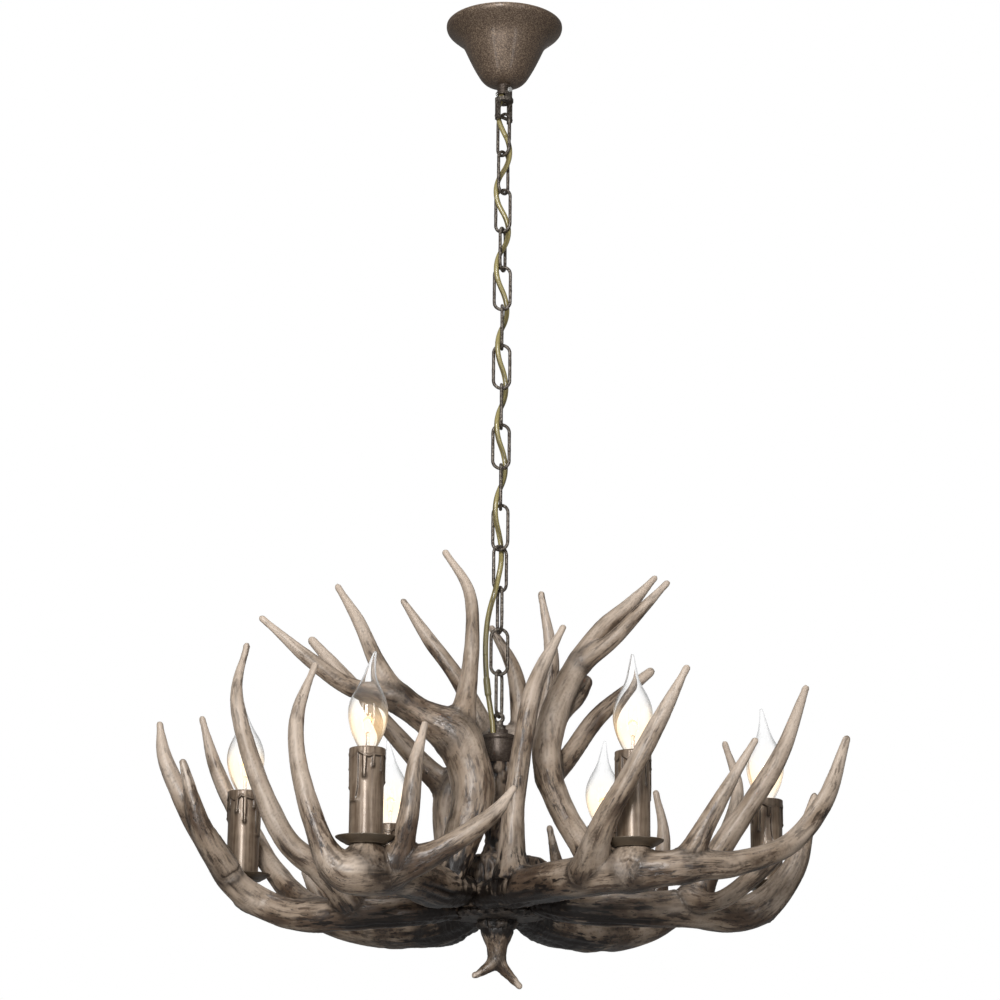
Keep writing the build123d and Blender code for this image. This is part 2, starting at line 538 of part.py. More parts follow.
def add_yoke(parts):
    """Yoke with two ears, a round shelf and two legs, and the bar between the legs."""
    turn = Location((0, 0, 0), (0, 0, YOKE_TURN))
    shelf = skin([round_ring(0, 0, z, SHELF_R, ROUND_SIDES) for z in (SHELF_TOP_Z, SHELF_TOP_Z - SHELF_THICK)])
    inner = COLLAR_FLAT + EAR_GAP
    slot_end = plan_direction(CORD_SLOT_TURN) * SHELF_R
    slot = Location((slot_end.X / 2, slot_end.Y / 2, SHELF_TOP_Z), (0, 0, CORD_SLOT_TURN)) * Box(
        SHELF_R, 2 * CORD_SLOT_HALF, 4 * SHELF_THICK
    )
    yoke = shelf - slot - rod(CORD_SLOT_HALF, SHELF_TOP_Z - SHELF_THICK - 1, SHELF_TOP_Z + 1, sides=8)
    for side in (-1, 1):
        ear_plane = Plane(origin=(side * inner, 0, PIN_Z), x_dir=(0, 1, 0), z_dir=(side, 0, 0))
        drop = PIN_Z - SHELF_TOP_Z
        ear = RegularPolygon(EAR_R, SMALL_SIDES) + Location((0, -drop / 2)) * Rectangle(2 * EAR_R * 0.96, drop)
        ear_solid = extrude(ear_plane * ear, EAR_THICK)
        hole = ear_plane.offset(-1) * RegularPolygon(PIN_R + TURN_GAP, 8, major_radius=False)
        yoke = yoke + turn * (ear_solid - extrude(hole, EAR_THICK + 2))
    for side in (-1, 1):
        end_z = TAIL_Z if side > 0 else LEG_Z
        leg = Location((0, side * (LEG_OUTSIDE - LEG_THICK / 2), (SHELF_TOP_Z - 1 + LEG_Z) / 2)) * Box(
            LEG_WIDTH, LEG_THICK, SHELF_TOP_Z - 1 - LEG_Z
        )
        if side > 0:
            leg += Location((0, side * (LEG_OUTSIDE - LEG_THICK / 2), (LEG_Z + 1 + end_z) / 2)) * Box(
                TAIL_WIDTH, LEG_THICK, LEG_Z + 1 - end_z
            )
        yoke = yoke + turn * leg
    bar_plane = Plane(origin=(0, -LEG_OUTSIDE - SEAT_GAP, BAR_Z), z_dir=(0, 1, 0))
    bar_hole = bar_plane.offset(-1) * RegularPolygon(BAR_R + TURN_GAP, 8, major_radius=False)
    yoke -= turn * extrude(bar_hole, 2 * LEG_OUTSIDE + 3)
    parts["yoke"] = largest(yoke)
    length = 2 * LEG_OUTSIDE + 2 * SEAT_GAP
    bar = extrude(bar_plane * RegularPolygon(BAR_R, 8), length)
    for z in (-BAR_HEAD_THICK, length):
        bar += extrude(bar_plane.offset(z) * RegularPolygon(BAR_HEAD_R, 8), BAR_HEAD_THICK)
    parts["yoke_bar"] = largest(turn * bar)


def chain_link(number):
    """One welded link of the chain, counted from the top, as a wire bent round two ends."""
    bend_r = (LINK_WIDTH / 2) - WIRE_R
    middle_z = link_top(number) - LINK_LENGTH / 2
    end_z = LINK_LENGTH / 2 - WIRE_R - bend_r
    corner_r = bend_r / math.cos(math.pi / 2 / LINK_END_STEPS)
    along = plan_direction(LINK_TURNS[number - 1])
    across = along.cross(Vector(0, 0, 1))
    rings = []
    for end in (1, -1):
        for k in range(LINK_END_STEPS):
            angle = math.pi * (k + 0.5) / LINK_END_STEPS + (0 if end > 0 else math.pi)
            mitre = 1 / math.cos(math.pi / 2 / LINK_END_STEPS)
            radial = along * math.cos(angle) + Vector(0, 0, math.sin(angle))
            middle = radial * corner_r + Vector(0, 0, middle_z + end * end_z)
            ring = []
            for side in range(6):
                a = math.radians(30 + 60 * side)
                r = WIRE_R / math.cos(math.radians(30))
                ring.append(tuple(middle + radial * (r * math.cos(a) * mitre) + across * (r * math.sin(a))))
            rings.append(ring)
    return skin(rings, ring_closed=True)


def link_top(number):
    """Height of the outside top of a link, counted from the top."""
    return FIRST_LINK_TOP_Z - (number - 1) * (LINK_LENGTH - 4 * WIRE_R - LINK_GAP)


def link_bottom_wire(number):
    """Height of the middle of the wire at a link's lower end."""
    return link_top(number) - LINK_LENGTH + WIRE_R


def add_chain(parts):
    """The links in three nodes, so that the last one can swing by itself."""
    links = [chain_link(n) for n in range(1, len(LINK_TURNS) + 1)]
    parts["chain_links_upper"] = Compound(children=links[:UPPER_LINKS])
    parts["chain_links_lower"] = Compound(children=links[UPPER_LINKS:LOWER_LINKS])
    parts["chain_link_last"] = links[LOWER_LINKS]


def fixture_drop():
    """How far the chain holds the fixture under the heights that it is drawn at."""
    return round(link_bottom_wire(len(LINK_TURNS)) - HANG_Z, 6)


def cord_points():
    """The supply cord's route: straight down, woven through the links, then down their left side."""
    points = list(CORD_START)
    for number, (turn, reach) in enumerate(CORD_WEAVE, 1):
        place = plan_direction(turn) * reach
        points.append((place.X, place.Y, link_bottom_wire(number) + WIRE_R))
    return points + [(x, y, z + fixture_drop()) for x, y, z in CORD_TAIL]


def fillet_radii(points):
    """Bend radius at each inner point: 0.45 of the shorter run over the tangent of half the turn."""
    radii = []
    for a, b, c in zip(points, points[1:], points[2:]):
        one, other = Vector(*b) - Vector(*a), Vector(*c) - Vector(*b)
        turn = math.acos(max(-1.0, min(1.0, one.normalized().dot(other.normalized()))))
        radii.append(0.45 * min(one.length, other.length) / math.tan(turn / 2))
    return radii


def add_cord(parts):
    """The supply cord, and the shrink sleeve round it beside the last link."""
    points = cord_points()
    radii = fillet_radii(points)
    route = FilletPolyline(*points, radius=radii)
    section = Plane(origin=route @ 0, z_dir=route % 0) * RegularPolygon(CORD_R, CORD_SIDES)
    parts["supply_cord"] = sweep(section, path=route)
    print("cord length", round(route.length), "least radius", round(min(radii), 1))
    print("cord volume", round(parts["supply_cord"].volume), "expected", round(section.area * route.length))
    low, high = SHRINK_BOTTOM_Z + fixture_drop(), SHRINK_TOP_Z + fixture_drop()
    edges = [edge for edge in route.edges() if low < edge.center().Z < high]
    length = sum(edge.length for edge in edges)
    start = max(edges, key=lambda edge: edge.center().Z)
    first = start @ 0 if (start @ 0).Z > (start @ 1).Z else start @ 1
    ring_plane = Plane(origin=first, z_dir=(start % 0) if first == start @ 0 else -(start % 1))
    ring = ring_plane * (RegularPolygon(SHRINK_R, 8) - RegularPolygon(CORD_R + SEAT_GAP, 8, major_radius=False))
    parts["shrink_sleeve"] = sweep(ring, path=Wire(edges))
    print("shrink sleeve length", round(length, 1))


def add_fixture(parts):
    """Loop, collar with its screw, cap, centre rod, stem, hub with its cover and nut, and the finial."""
    eye_z = HANG_Z - EYE_DROP
    along = plan_direction(LINK_TURNS[-1])
    side = along.cross(Vector(0, 0, 1))
    eye_plane = Plane(origin=along * (-EYE_THICK / 2) + Vector(0, 0, eye_z), x_dir=side, z_dir=along)
    neck_length = eye_z - LOOP_BASE_TOP_Z
    up = -1 if (eye_plane.y_dir.Z < 0) else 1
    eye = RegularPolygon(EYE_R, SMALL_SIDES)
    eye += Location((0, -up * neck_length / 2)) * Rectangle(NECK_WIDTH, neck_length)
    eye -= RegularPolygon(EYE_HOLE_R, SMALL_SIDES, major_radius=False)
    notch = rod(CORD_NOTCH_R, LOOP_BASE_TOP_Z - NOTCH_DEPTH, LOOP_BASE_TOP_Z + 5, CORD_NOTCH_X, CORD_NOTCH_Y, 8)
    loop = extrude(eye_plane * eye, EYE_THICK)
    loop += rod(LOOP_BASE_R, LOOP_BASE_BOTTOM_Z, LOOP_BASE_TOP_Z)
    loop += rod(LOOP_STUB_R, LOOP_BASE_BOTTOM_Z - LOOP_STUB_LENGTH, LOOP_BASE_BOTTOM_Z, sides=8)
    parts["top_loop"] = largest(loop - notch)

    ring_top = LOOP_BASE_BOTTOM_Z - SEAT_GAP
    ring = rod(COLLAR_RING_R, COLLAR_RING_BOTTOM_Z, ring_top) - notch
    ring -= rod(ROD_R + TURN_GAP, COLLAR_RING_BOTTOM_Z - 1, ring_top + 1, sides=SMALL_SIDES)
    grip_z = (ring_top + COLLAR_RING_BOTTOM_Z) / 2
    grip_seat = Vector(-COLLAR_RING_R * 1.03 - SEAT_GAP, 0, grip_z)
    grip_plane = Plane(origin=grip_seat, z_dir=(-1, 0, 0)).offset(-GRIP_LENGTH - 1)
    ring -= extrude(grip_plane * RegularPolygon(GRIP_R + TURN_GAP, 8), GRIP_LENGTH + 2)
    parts["loop_collar"] = largest(ring)
    shank = COLLAR_RING_R * 1.03 + SEAT_GAP - ROD_R * 1.04 - SEAT_GAP
    parts["grip_screw"] = cross_screw(grip_seat, Vector(-1, 0, 0), GRIP_R, shank, 1.5 * GRIP_R, 1.2)

    cap = turned_ring([*CAP_PROFILE] + inset(CAP_PROFILE, -CAP_WALL)[::-1], ROUND_SIDES)
    parts["cap"] = largest(cap - notch)

    centre_rod = rod(ROD_R, ROD_BOTTOM_Z, ring_top, sides=SMALL_SIDES)
    centre_rod -= rod(ROD_BORE_R, ROD_BOTTOM_Z - 1, ring_top + 1, sides=8)
    parts["centre_rod"] = largest(centre_rod)
    rod_space = rod(ROD_R + TURN_GAP, ROD_BOTTOM_Z - SEAT_GAP, ring_top, sides=SMALL_SIDES)
    parts["stem"] = largest(turned(STEM_PROFILE, ROUND_SIDES, ripple=BARK_DEPTH) - rod_space)

    hub = turned(HUB_PROFILE, HUB_SIDES, ripple=BARK_DEPTH) - rod_space
    hub -= rod(HUB_CAVITY_R, HUB_PROFILE[-1][1] - 1, HUB_CAVITY_TOP_Z)
    for antler in LOWER_ANTLERS:
        hub -= root_bolt(antler, TURN_GAP)
    parts["hub"] = largest(hub)
    parts["hub_nut"] = hexagon_nut(HUB_CAVITY_TOP_Z - SEAT_GAP, NUT_ACROSS_R, NUT_HEIGHT, ROD_R + TURN_GAP)
    parts["antler_bolts"] = Compound(children=[largest(root_bolt(antler)) for antler in LOWER_ANTLERS])
    parts["hub_cover"] = largest(turned(COVER_PROFILE, HUB_SIDES, ripple=BARK_DEPTH) - rod_space)
    connector = Box(CONNECTOR_LENGTH, CONNECTOR_WIDTH, CONNECTOR_HEIGHT)
    place = Location((CONNECTOR_X, 0, COVER_PROFILE[0][1] + SEAT_GAP + CONNECTOR_HEIGHT / 2))
    parts["wire_connector"] = place * connector

    finial = turned(FINIAL_PROFILE, 8, ripple=0.8)
    for prong in FINIAL_PRONGS:
        finial += branch(prong, TINE_SIDES, 1)
    parts["finial"] = largest(finial - rod_space)


def candle_sleeve(lamp):
    """A card sleeve round the holder with runs of wax down its outside from the top."""
    bottom, top = lamp.top_z - SLEEVE_LENGTH, lamp.top_z
    inner = SLEEVE_R - SLEEVE_WALL
    rings = []
    for i in range(SLEEVE_SIDES):
        angle = 2 * math.pi * i / SLEEVE_SIDES
        run_z = top - WAX_RUNS[i % len(WAX_RUNS)]
        outline = (
            (inner, bottom), (SLEEVE_R, bottom), (SLEEVE_R, run_z - 2), (SLEEVE_R + WAX_THICK, run_z),
            (SLEEVE_R + WAX_THICK / 2, top), (inner, top),
        )
        rings.append([(lamp.x + r * math.cos(angle), lamp.y + r * math.sin(angle), z) for r, z in outline])
    return skin(rings, ring_closed=True)


def bulb(lamp):
    """A clear candle bulb with a bent tip, its filament post and its screw base."""
    start_z = lamp.top_z - BULB_DROP
    lean = plan_direction(lamp.flame_turn) * lamp.flame_lean
    tip_z = BULB_PROFILE[-1][1]

    def rings(profile):
        made = []
        for r, z in profile:
            share = max(0.0, (z - FLAME_START) / (tip_z - FLAME_START)) ** 2
            made.append(round_ring(lamp.x + lean.X * share, lamp.y + lean.Y * share, start_z + z, r, BULB_SIDES))
        return skin(made)

    inside = [(r - BULB_WALL, z) for r, z in BULB_PROFILE[:-1]]
    inside[0] = (inside[0][0], BULB_WALL)
    glass = largest(rings(BULB_PROFILE) - rings(inside))
    base_top = start_z - SEAT_GAP / 2
    base_ends = (base_top - SCREW_BASE_LENGTH, base_top)
    base = skin([round_ring(lamp.x, lamp.y, z, SCREW_BASE_R, BULB_SIDES) for z in base_ends])
    foot_z = start_z + BULB_WALL + SEAT_GAP
    post_ends = ((foot_z, POST_R), (foot_z + POST_HEIGHT, POST_TIP_R))
    post = skin([round_ring(lamp.x, lamp.y, z, r, 6) for z, r in post_ends])
    return Compound(children=[glass, base, post])


def add_lamps(parts):
    """Nipple, pan, holder, sleeve and bulb on each lower antler."""
    nipples = []
    for number, antler in enumerate(LOWER_ANTLERS, 1):
        lamp = antler.lamp
        pan_z = lamp.seat_z + SEAT_GAP
        floor_z = lamp.top_z - SLEEVE_LENGTH
        low, high = lamp.seat_z - LAMP_NIPPLE_SINK, floor_z + LAMP_NIPPLE_RISE
        nipple = rod(LAMP_NIPPLE_R, low, high, lamp.x, lamp.y, LAMP_NIPPLE_SIDES)
        bore = rod(LAMP_NIPPLE_BORE_R, low - 1, high + 1, lamp.x, lamp.y, LAMP_NIPPLE_SIDES)
        nipples.append(largest(nipple - bore))
        hole_r = (LAMP_NIPPLE_R + TURN_GAP) / math.cos(math.pi / LAMP_NIPPLE_SIDES)
        under = ((hole_r, pan_z), (PAN_FLOOR_R, pan_z), (PAN_R, pan_z + PAN_DEPTH))
        section = [*under] + inset(under, PAN_WALL)[::-1]
        parts[f"drip_pan_{number}"] = turned_ring(section, ROUND_SIDES, lamp.x, lamp.y)
        holder_top = lamp.top_z - HOLDER_TOP_DROP
        holder = turned(((HOLDER_R, floor_z), (HOLDER_TOP_R, holder_top)), HOLDER_SIDES, lamp.x, lamp.y)
        socket_z = lamp.top_z - BULB_DROP - SEAT_GAP - SCREW_BASE_LENGTH
        holder -= rod(SOCKET_R, socket_z, holder_top + 1, lamp.x, lamp.y, HOLDER_SIDES)
        holder -= rod(LAMP_NIPPLE_R + TURN_GAP, floor_z - 1, high + SEAT_GAP, lamp.x, lamp.y, LAMP_NIPPLE_SIDES)
        parts[f"lamp_holder_{number}"] = largest(holder)
        parts[f"candle_sleeve_{number}"] = candle_sleeve(lamp)
        parts[f"bulb_{number}"] = bulb(lamp)
    parts["lamp_nipples"] = Compound(children=nipples)


def write(parts):
    """Each piece as a STEP file of its own, named after its node."""
    os.makedirs("parts", exist_ok=True)
    for name, shape in parts.items():
        export_step(shape, f"parts/{name}.step")


if __name__ == "__main__":
    parts, fixture = {}, {}
    add_ceiling(parts)
    add_yoke(parts)
    add_chain(parts)
    add_cord(parts)
    add_fixture(fixture)
    add_lamps(fixture)
    add_antlers(fixture)
    drop = Location((0, 0, fixture_drop()))
    parts.update({name: shape.moved(drop) for name, shape in fixture.items()} if fixture_drop() else fixture)
    write(parts)
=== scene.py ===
"""Antler chandelier on a chain: six candle lamps on lower antlers, three upper antlers, hub, stem and canopy.

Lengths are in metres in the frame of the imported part: the ceiling plane is z = 0, +Z is up, +X is to the
right and +Y points away from the viewer. Rows of knots and profiles, and sizes said to be, are in millimetres.
"""

from __future__ import annotations

import logging
import math
from collections.abc import Iterable
from dataclasses import dataclass, field
from enum import Enum

import bpy
import numpy as np
from mathutils import Matrix, Vector

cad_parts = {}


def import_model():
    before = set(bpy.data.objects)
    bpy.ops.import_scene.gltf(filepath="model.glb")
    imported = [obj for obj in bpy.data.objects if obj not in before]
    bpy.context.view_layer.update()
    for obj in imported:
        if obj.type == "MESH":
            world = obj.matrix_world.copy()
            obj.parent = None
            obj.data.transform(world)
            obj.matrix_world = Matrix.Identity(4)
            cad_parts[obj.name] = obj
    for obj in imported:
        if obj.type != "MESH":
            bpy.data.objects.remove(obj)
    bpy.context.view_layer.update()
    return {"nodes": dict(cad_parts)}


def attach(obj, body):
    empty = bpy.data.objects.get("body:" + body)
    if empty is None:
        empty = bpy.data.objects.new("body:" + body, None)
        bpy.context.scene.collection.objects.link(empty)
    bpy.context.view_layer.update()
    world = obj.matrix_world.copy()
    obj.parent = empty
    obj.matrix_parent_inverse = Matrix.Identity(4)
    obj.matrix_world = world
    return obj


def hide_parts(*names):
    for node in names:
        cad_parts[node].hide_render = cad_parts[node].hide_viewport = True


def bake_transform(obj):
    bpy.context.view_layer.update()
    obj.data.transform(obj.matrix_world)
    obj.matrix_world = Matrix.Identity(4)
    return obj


MM = 0.001
LOG = logging.getLogger("chandelier")

Array = np.ndarray
Piece = bpy.types.Object
Socket = bpy.types.NodeSocket
Colour = tuple[float, float, float]
Rows = tuple[tuple[float, ...], ...]
Solid = tuple[Array, list[list[int]]]  # points and faces of one closed surface

# Lamp sizes in millimetres that several pieces share
SLEEVE_LENGTH, SLEEVE_R, SLEEVE_WALL = 88.0, 16.2, 1.5
PAN_R, PAN_WALL, SEAT_GAP = 28.0, 1.3, 0.15


class Body(Enum):
    """The rigid bodies that pieces ride on."""

    CEILING = "ceiling_mount"
    HOOK = "hook"
    CHAIN = "chain"
    LAST_LINK = "last_link"
    FIXTURE = "fixture"


# --------------------------------------------------------------------------- meshes


def mesh_object(name: str, points: Array, faces: list[list[int]]) -> Piece:
    """Make a smooth object at the origin from points and faces.

    Args:
        name: The piece's name.
        points: Array (..., 3) in metres.
        faces: Lists of point numbers, counter-clockwise seen from outside.

    Returns:
        The new object, linked to the scene.
    """
    mesh = bpy.data.meshes.new(name)
    mesh.from_pydata(points.reshape(-1, 3).tolist(), [], faces)
    mesh.update()
    mesh.polygons.foreach_set("use_smooth", np.full(len(mesh.polygons), True))
    made = bpy.data.objects.new(name, mesh)
    bpy.context.scene.collection.objects.link(made)
    return made


def joined(name: str, solids: Iterable[Solid]) -> Piece:
    """One object that holds several closed surfaces.

    Args:
        name: The piece's name.
        solids: Points and faces of each surface.

    Returns:
        The new object.
    """
    clouds, faces, start = [], [], 0
    for points, polygons in solids:
        clouds.append(points.reshape(-1, 3))
        faces += [[start + corner for corner in polygon] for polygon in polygons]
        start += len(clouds[-1])
    return mesh_object(name, np.vstack(clouds), faces)


def grid_faces(rows: int, columns: int, ring: bool = False) -> list[list[int]]:
    """Quads between rows of a grid whose columns go round, with a polygon over each open end.

    Args:
        rows: Number of rings.
        columns: Points in each ring.
        ring: Whether the last row joins the first, in place of the end polygons.

    Returns:
        Faces as lists of point numbers.
    """
    r, c = np.meshgrid(np.arange(rows if ring else rows - 1), np.arange(columns), indexing="ij")
    here, above, onward = r * columns, (r + 1) % rows * columns, (c + 1) % columns
    quads = np.stack([here + c, here + onward, above + onward, above + c], axis=-1).reshape(-1, 4).tolist()
    if not ring:
        quads.append(list(range(columns))[::-1])
        quads.append(list(range((rows - 1) * columns, rows * columns)))
    return quads


def angles(sides: int) -> Array:
    """Even angles once round, in radians."""
    return np.linspace(0.0, 2 * np.pi, sides, endpoint=False)


def unit(rows: Array) -> Array:
    """Vectors scaled to length 1."""
    return rows / np.linalg.norm(rows, axis=-1, keepdims=True)


def run_length(path: Array) -> Array:
    """Length along a path from its start to each of its points."""
    return np.concatenate([[0.0], np.cumsum(np.linalg.norm(np.diff(path, axis=0), axis=1))])


def resampled(at: Array, known: Array, rows: Array) -> Array:
    """Rows read off between known places by straight lines."""
    return np.stack([np.interp(at, known, column) for column in rows.T], axis=1)


def turned(profile: Array, sides: int, centre: tuple[float, float] = (0.0, 0.0)) -> Array:
    """Rings of a turned form: radius and height of each profile point, carried round the upright axis.

    Args:
        profile: Array (n, 2) of radius and height.
        sides: Points in each ring.
        centre: The axis in plan.

    Returns:
        Array (n, sides, 3).
    """
    radius, height = profile[:, :1], profile[:, 1:]
    x, y = centre[0] + radius * np.cos(angles(sides)), centre[1] + radius * np.sin(angles(sides))
    return np.stack([x, y, np.broadcast_to(height, x.shape)], axis=-1)


def smooth_profile(rows: Rows, steps: int) -> Array:
    """Points on a Catmull-Rom curve: each span is the cubic that leaves its ends along their neighbours' chords.

    Args:
        rows: Knots in millimetres.
        steps: Points on each span.

    Returns:
        Array ((n - 1) * steps + 1, k) in metres.
    """
    knots = np.array(rows) * MM
    padded = np.vstack([2 * knots[0] - knots[1], knots, 2 * knots[-1] - knots[-2]])
    p0, p1, p2, p3 = padded[:-3, None], padded[1:-2, None], padded[2:-1, None], padded[3:, None]
    t = np.linspace(0.0, 1.0, steps, endpoint=False)[None, :, None]
    square, cube = 2 * p0 - 5 * p1 + 4 * p2 - p3, 3 * p1 - p0 - 3 * p2 + p3
    spans = 0.5 * (2 * p1 + (p2 - p0) * t + square * t**2 + cube * t**3)
    return np.vstack([spans.reshape(-1, knots.shape[1]), knots[-1:]])


def ring_points(path: Array, across: Array, over: Array, radius: Array | float, sides: int) -> Array:
    """Rings round a path: its point plus its radius, turned from the across direction to the over direction.

    Args:
        path: Array (n, 3).
        across: Unit vectors square to the path, (n, 3).
        over: Unit vectors square to both, (n, 3) or one for all.
        radius: One number, or an array (n,) or (n, sides).
        sides: Points in each ring.

    Returns:
        Array (n, sides, 3).
    """
    angle = angles(sides)[:, None]
    ring = across[:, None] * np.cos(angle) + np.broadcast_to(over, path.shape)[:, None] * np.sin(angle)
    reach = np.broadcast_to(np.transpose(radius), (sides, len(path))).T
    return path[:, None] + ring * reach[..., None]


def tube_rings(path: Array, radius: Array | float, sides: int, up: Colour) -> Array:
    """Rings of a round tube, whose across direction is the up vector made square to the path.

    Args:
        path: Array (n, 3).
        radius: One number, or an array (n,).
        sides: Points in each ring.
        up: Any direction that the path doesn't run along.

    Returns:
        Array (n, sides, 3).
    """
    along = unit(np.gradient(path, axis=0))
    across = unit(np.array(up) - along * (along @ np.array(up))[:, None])
    return ring_points(path, across, np.cross(along, across), radius, sides)


def read_rows(items: bpy.types.bpy_prop_collection, key: str) -> Array:
    """One vector of each item as an array (n, 3).

    Args:
        items: A mesh's vertices or vertex normals.
        key: The vector's name.

    Returns:
        Array (n, 3).
    """
    flat = np.empty(len(items) * 3)
    items.foreach_get(key, flat)
    return flat.reshape(-1, 3)


def mark(piece: Piece, name: str, values: Array) -> None:
    """Keep a number (n,) or a vector (n, 3) on each point, in the attribute of that name.

    Args:
        piece: The piece.
        name: The attribute, made where the mesh hasn't got it.
        values: Array (n,) or (n, 3).
    """
    kind, key = ("FLOAT_VECTOR", "vector") if values.ndim > 1 else ("FLOAT", "value")
    store = piece.data.attributes.get(name) or piece.data.attributes.new(name, kind, "POINT")
    store.data.foreach_set(key, values.astype(np.float32).reshape(-1))


def own(piece: Piece, finish: Finish, body: Body | str, node: str) -> None:
    """Give a piece its finish, let it ride on a body and stand for its node.

    Args:
        piece: The piece.
        finish: Its material.
        body: The rigid body that carries it.
        node: The CAD node it replaces.
    """
    piece.data.materials.append(finish.build())
    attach(piece, body.value if isinstance(body, Body) else body)
    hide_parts(node)


# --------------------------------------------------------------------------- noise

CELL_PRIMES = (73856093, 19349663, 83492791)
SEED_PRIME, MIX_PRIME = 2654435761, 1274126177
LAYER_SHIFT = 17.3  # moves each layer's lattice off the one before


def ease(value: Array, low: float, high: float) -> Array:
    """Smooth step from 0 at low to 1 at high."""
    share = np.clip((value - low) / (high - low), 0.0, 1.0)
    return share * share * (3 - 2 * share)


def lattice_noise(points: Array, seed: int) -> Array:
    """Smooth noise: whole-number corners get a hashed value and a point takes their cubic-eased blend.

    Args:
        points: Array (..., 3).
        seed: Which noise.

    Returns:
        Array (...) from -1 to 1.
    """
    base = np.floor(points).astype(np.int64)
    part = points - base
    blend = part * part * (3 - 2 * part)
    total = np.zeros(points.shape[:-1])
    for corner in range(8):
        step = np.array([corner & 1, corner >> 1 & 1, corner >> 2 & 1])
        x, y, z = np.moveaxis((base + step) * CELL_PRIMES, -1, 0)
        key = x ^ y ^ z ^ (seed * SEED_PRIME)
        key = (key ^ (key >> 13)) * MIX_PRIME & 0x7FFFFFFF
        key = (key ^ (key >> 16)) & 0xFFFF
        total += np.prod(np.where(step, blend, 1 - blend), axis=-1) * (key / 32767.5 - 1)
    return total


def layered_noise(points: Array, seed: int, layers: int = 3) -> Array:
    """Noise plus halved copies at doubled frequency, scaled back to about -1 to 1."""
    total = sum(lattice_noise(points * 2**k + LAYER_SHIFT * k, seed + k) / 2**k for k in range(layers))
    return total / (2 - 0.5 ** (layers - 1))


# --------------------------------------------------------------------------- shader nodes


class Wiring:
    """Short calls that add and join nodes of one tree."""

    def __init__(self, tree: bpy.types.NodeTree) -> None:
        """Keep the tree."""
        self.tree = tree

    def feed(self, node: bpy.types.Node, feeds: dict[str | int, object]) -> bpy.types.Node:
        """Join sockets to a node's inputs, or set numbers and colours on them.

        Args:
            node: The node.
            feeds: Sockets, numbers and colours by the input's name or number.

        Returns:
            The same node.
        """
        for key, value in feeds.items():
            target = node.inputs[key]
            if isinstance(value, Socket):
                self.tree.links.new(value, target)
            else:
                target.default_value = (*value, 1.0) if target.type == "RGBA" else value
        return node

    def add(self, kind: str, feeds: dict[str | int, object] | None = None, **values: object) -> bpy.types.Node:
        """Add a shader node of a kind, set its own properties and feed its inputs.

        Args:
            kind: The node's type without its ShaderNode.
            feeds: What its inputs get.
            values: Its own properties.

        Returns:
            The new node.
        """
        node = self.tree.nodes.new(f"ShaderNode{kind}")
        for key, value in values.items():
            setattr(node, key, value)
        return self.feed(node, feeds or {})

    def maths(self, operation: str, *terms: object, clamp: bool = False) -> Socket:
        """A Math node of sockets or numbers."""
        return self.add("Math", dict(enumerate(terms)), operation=operation, use_clamp=clamp).outputs[0]

    def plus(self, first: object, second: object) -> Socket:
        """The sum of sockets or numbers."""
        return self.maths("ADD", first, second)

    def minus(self, first: object, second: object) -> Socket:
        """The difference of sockets or numbers."""
        return self.maths("SUBTRACT", first, second)

    def times(self, first: object, second: object) -> Socket:
        """The product of sockets or numbers."""
        return self.maths("MULTIPLY", first, second)

    def band(self, value: Socket, low: float, high: float) -> Socket:
        """Smooth step of a value from 0 at low to 1 at high."""
        feeds = {"Value": value, "From Min": low, "From Max": high}
        return self.add("MapRange", feeds, interpolation_type="SMOOTHSTEP").outputs[0]

    def spread(self, value: Socket, first: float, last: float) -> Socket:
        """A value from 0 to 1 carried to the span from first to last."""
        return self.add("MapRange", {"Value": value, "To Min": first, "To Max": last}).outputs[0]

    def noise(self, vector: Socket, scale: float | Colour | Socket, detail: float = 3.0) -> Socket:
        """A noise texture's value over a vector, with one scale or one for each axis.

        Args:
            vector: Where the noise is read.
            scale: How fine it is.
            detail: How many finer layers it has.

        Returns:
            The noise, from 0 to 1.
        """
        if isinstance(scale, tuple):
            vector = self.add("VectorMath", {0: vector, 1: scale}, operation="MULTIPLY").outputs[0]
            scale = 1.0
        return self.add("TexNoise", {"Vector": vector, "Scale": scale, "Detail": detail}).outputs[0]

    def bump(self, height: Socket, strength: float, distance: float) -> Socket:
        """A normal bent by a height."""
        return self.add("Bump", {"Strength": strength, "Distance": distance, "Height": height}).outputs[0]

    def attribute(self, name: str, output: str = "Fac") -> Socket:
        """A number or a vector kept on the piece's points."""
        return self.add("Attribute", attribute_name=name).outputs[output]

    def place(self) -> Socket:
        """The point's place in the piece's own coordinates."""
        return self.add("TexCoord").outputs["Object"]

    def tint(self, share: Socket, first: object, second: object) -> Socket:
        """A mix of two colours, each a socket or three numbers."""
        return self.add("Mix", {0: share, 6: first, 7: second}, data_type="RGBA").outputs[2]


def new_group(name: str, inputs: dict[str, tuple[str, object]], outputs: tuple[str, ...]) -> bpy.types.NodeTree:
    """Make an empty shader node group with named sockets.

    Args:
        name: The group's name.
        inputs: Socket name to (socket type, default).
        outputs: Names of its number sockets.

    Returns:
        The group, with its Group Input and Group Output nodes.
    """
    group = bpy.data.node_groups.new(name, "ShaderNodeTree")
    for label, (kind, value) in inputs.items():
        group.interface.new_socket(name=label, in_out="INPUT", socket_type=kind).default_value = value
    for label in outputs:
        group.interface.new_socket(name=label, in_out="OUTPUT", socket_type="NodeSocketFloat")
    group.nodes.new("NodeGroupInput")
    group.nodes.new("NodeGroupOutput")
    return group


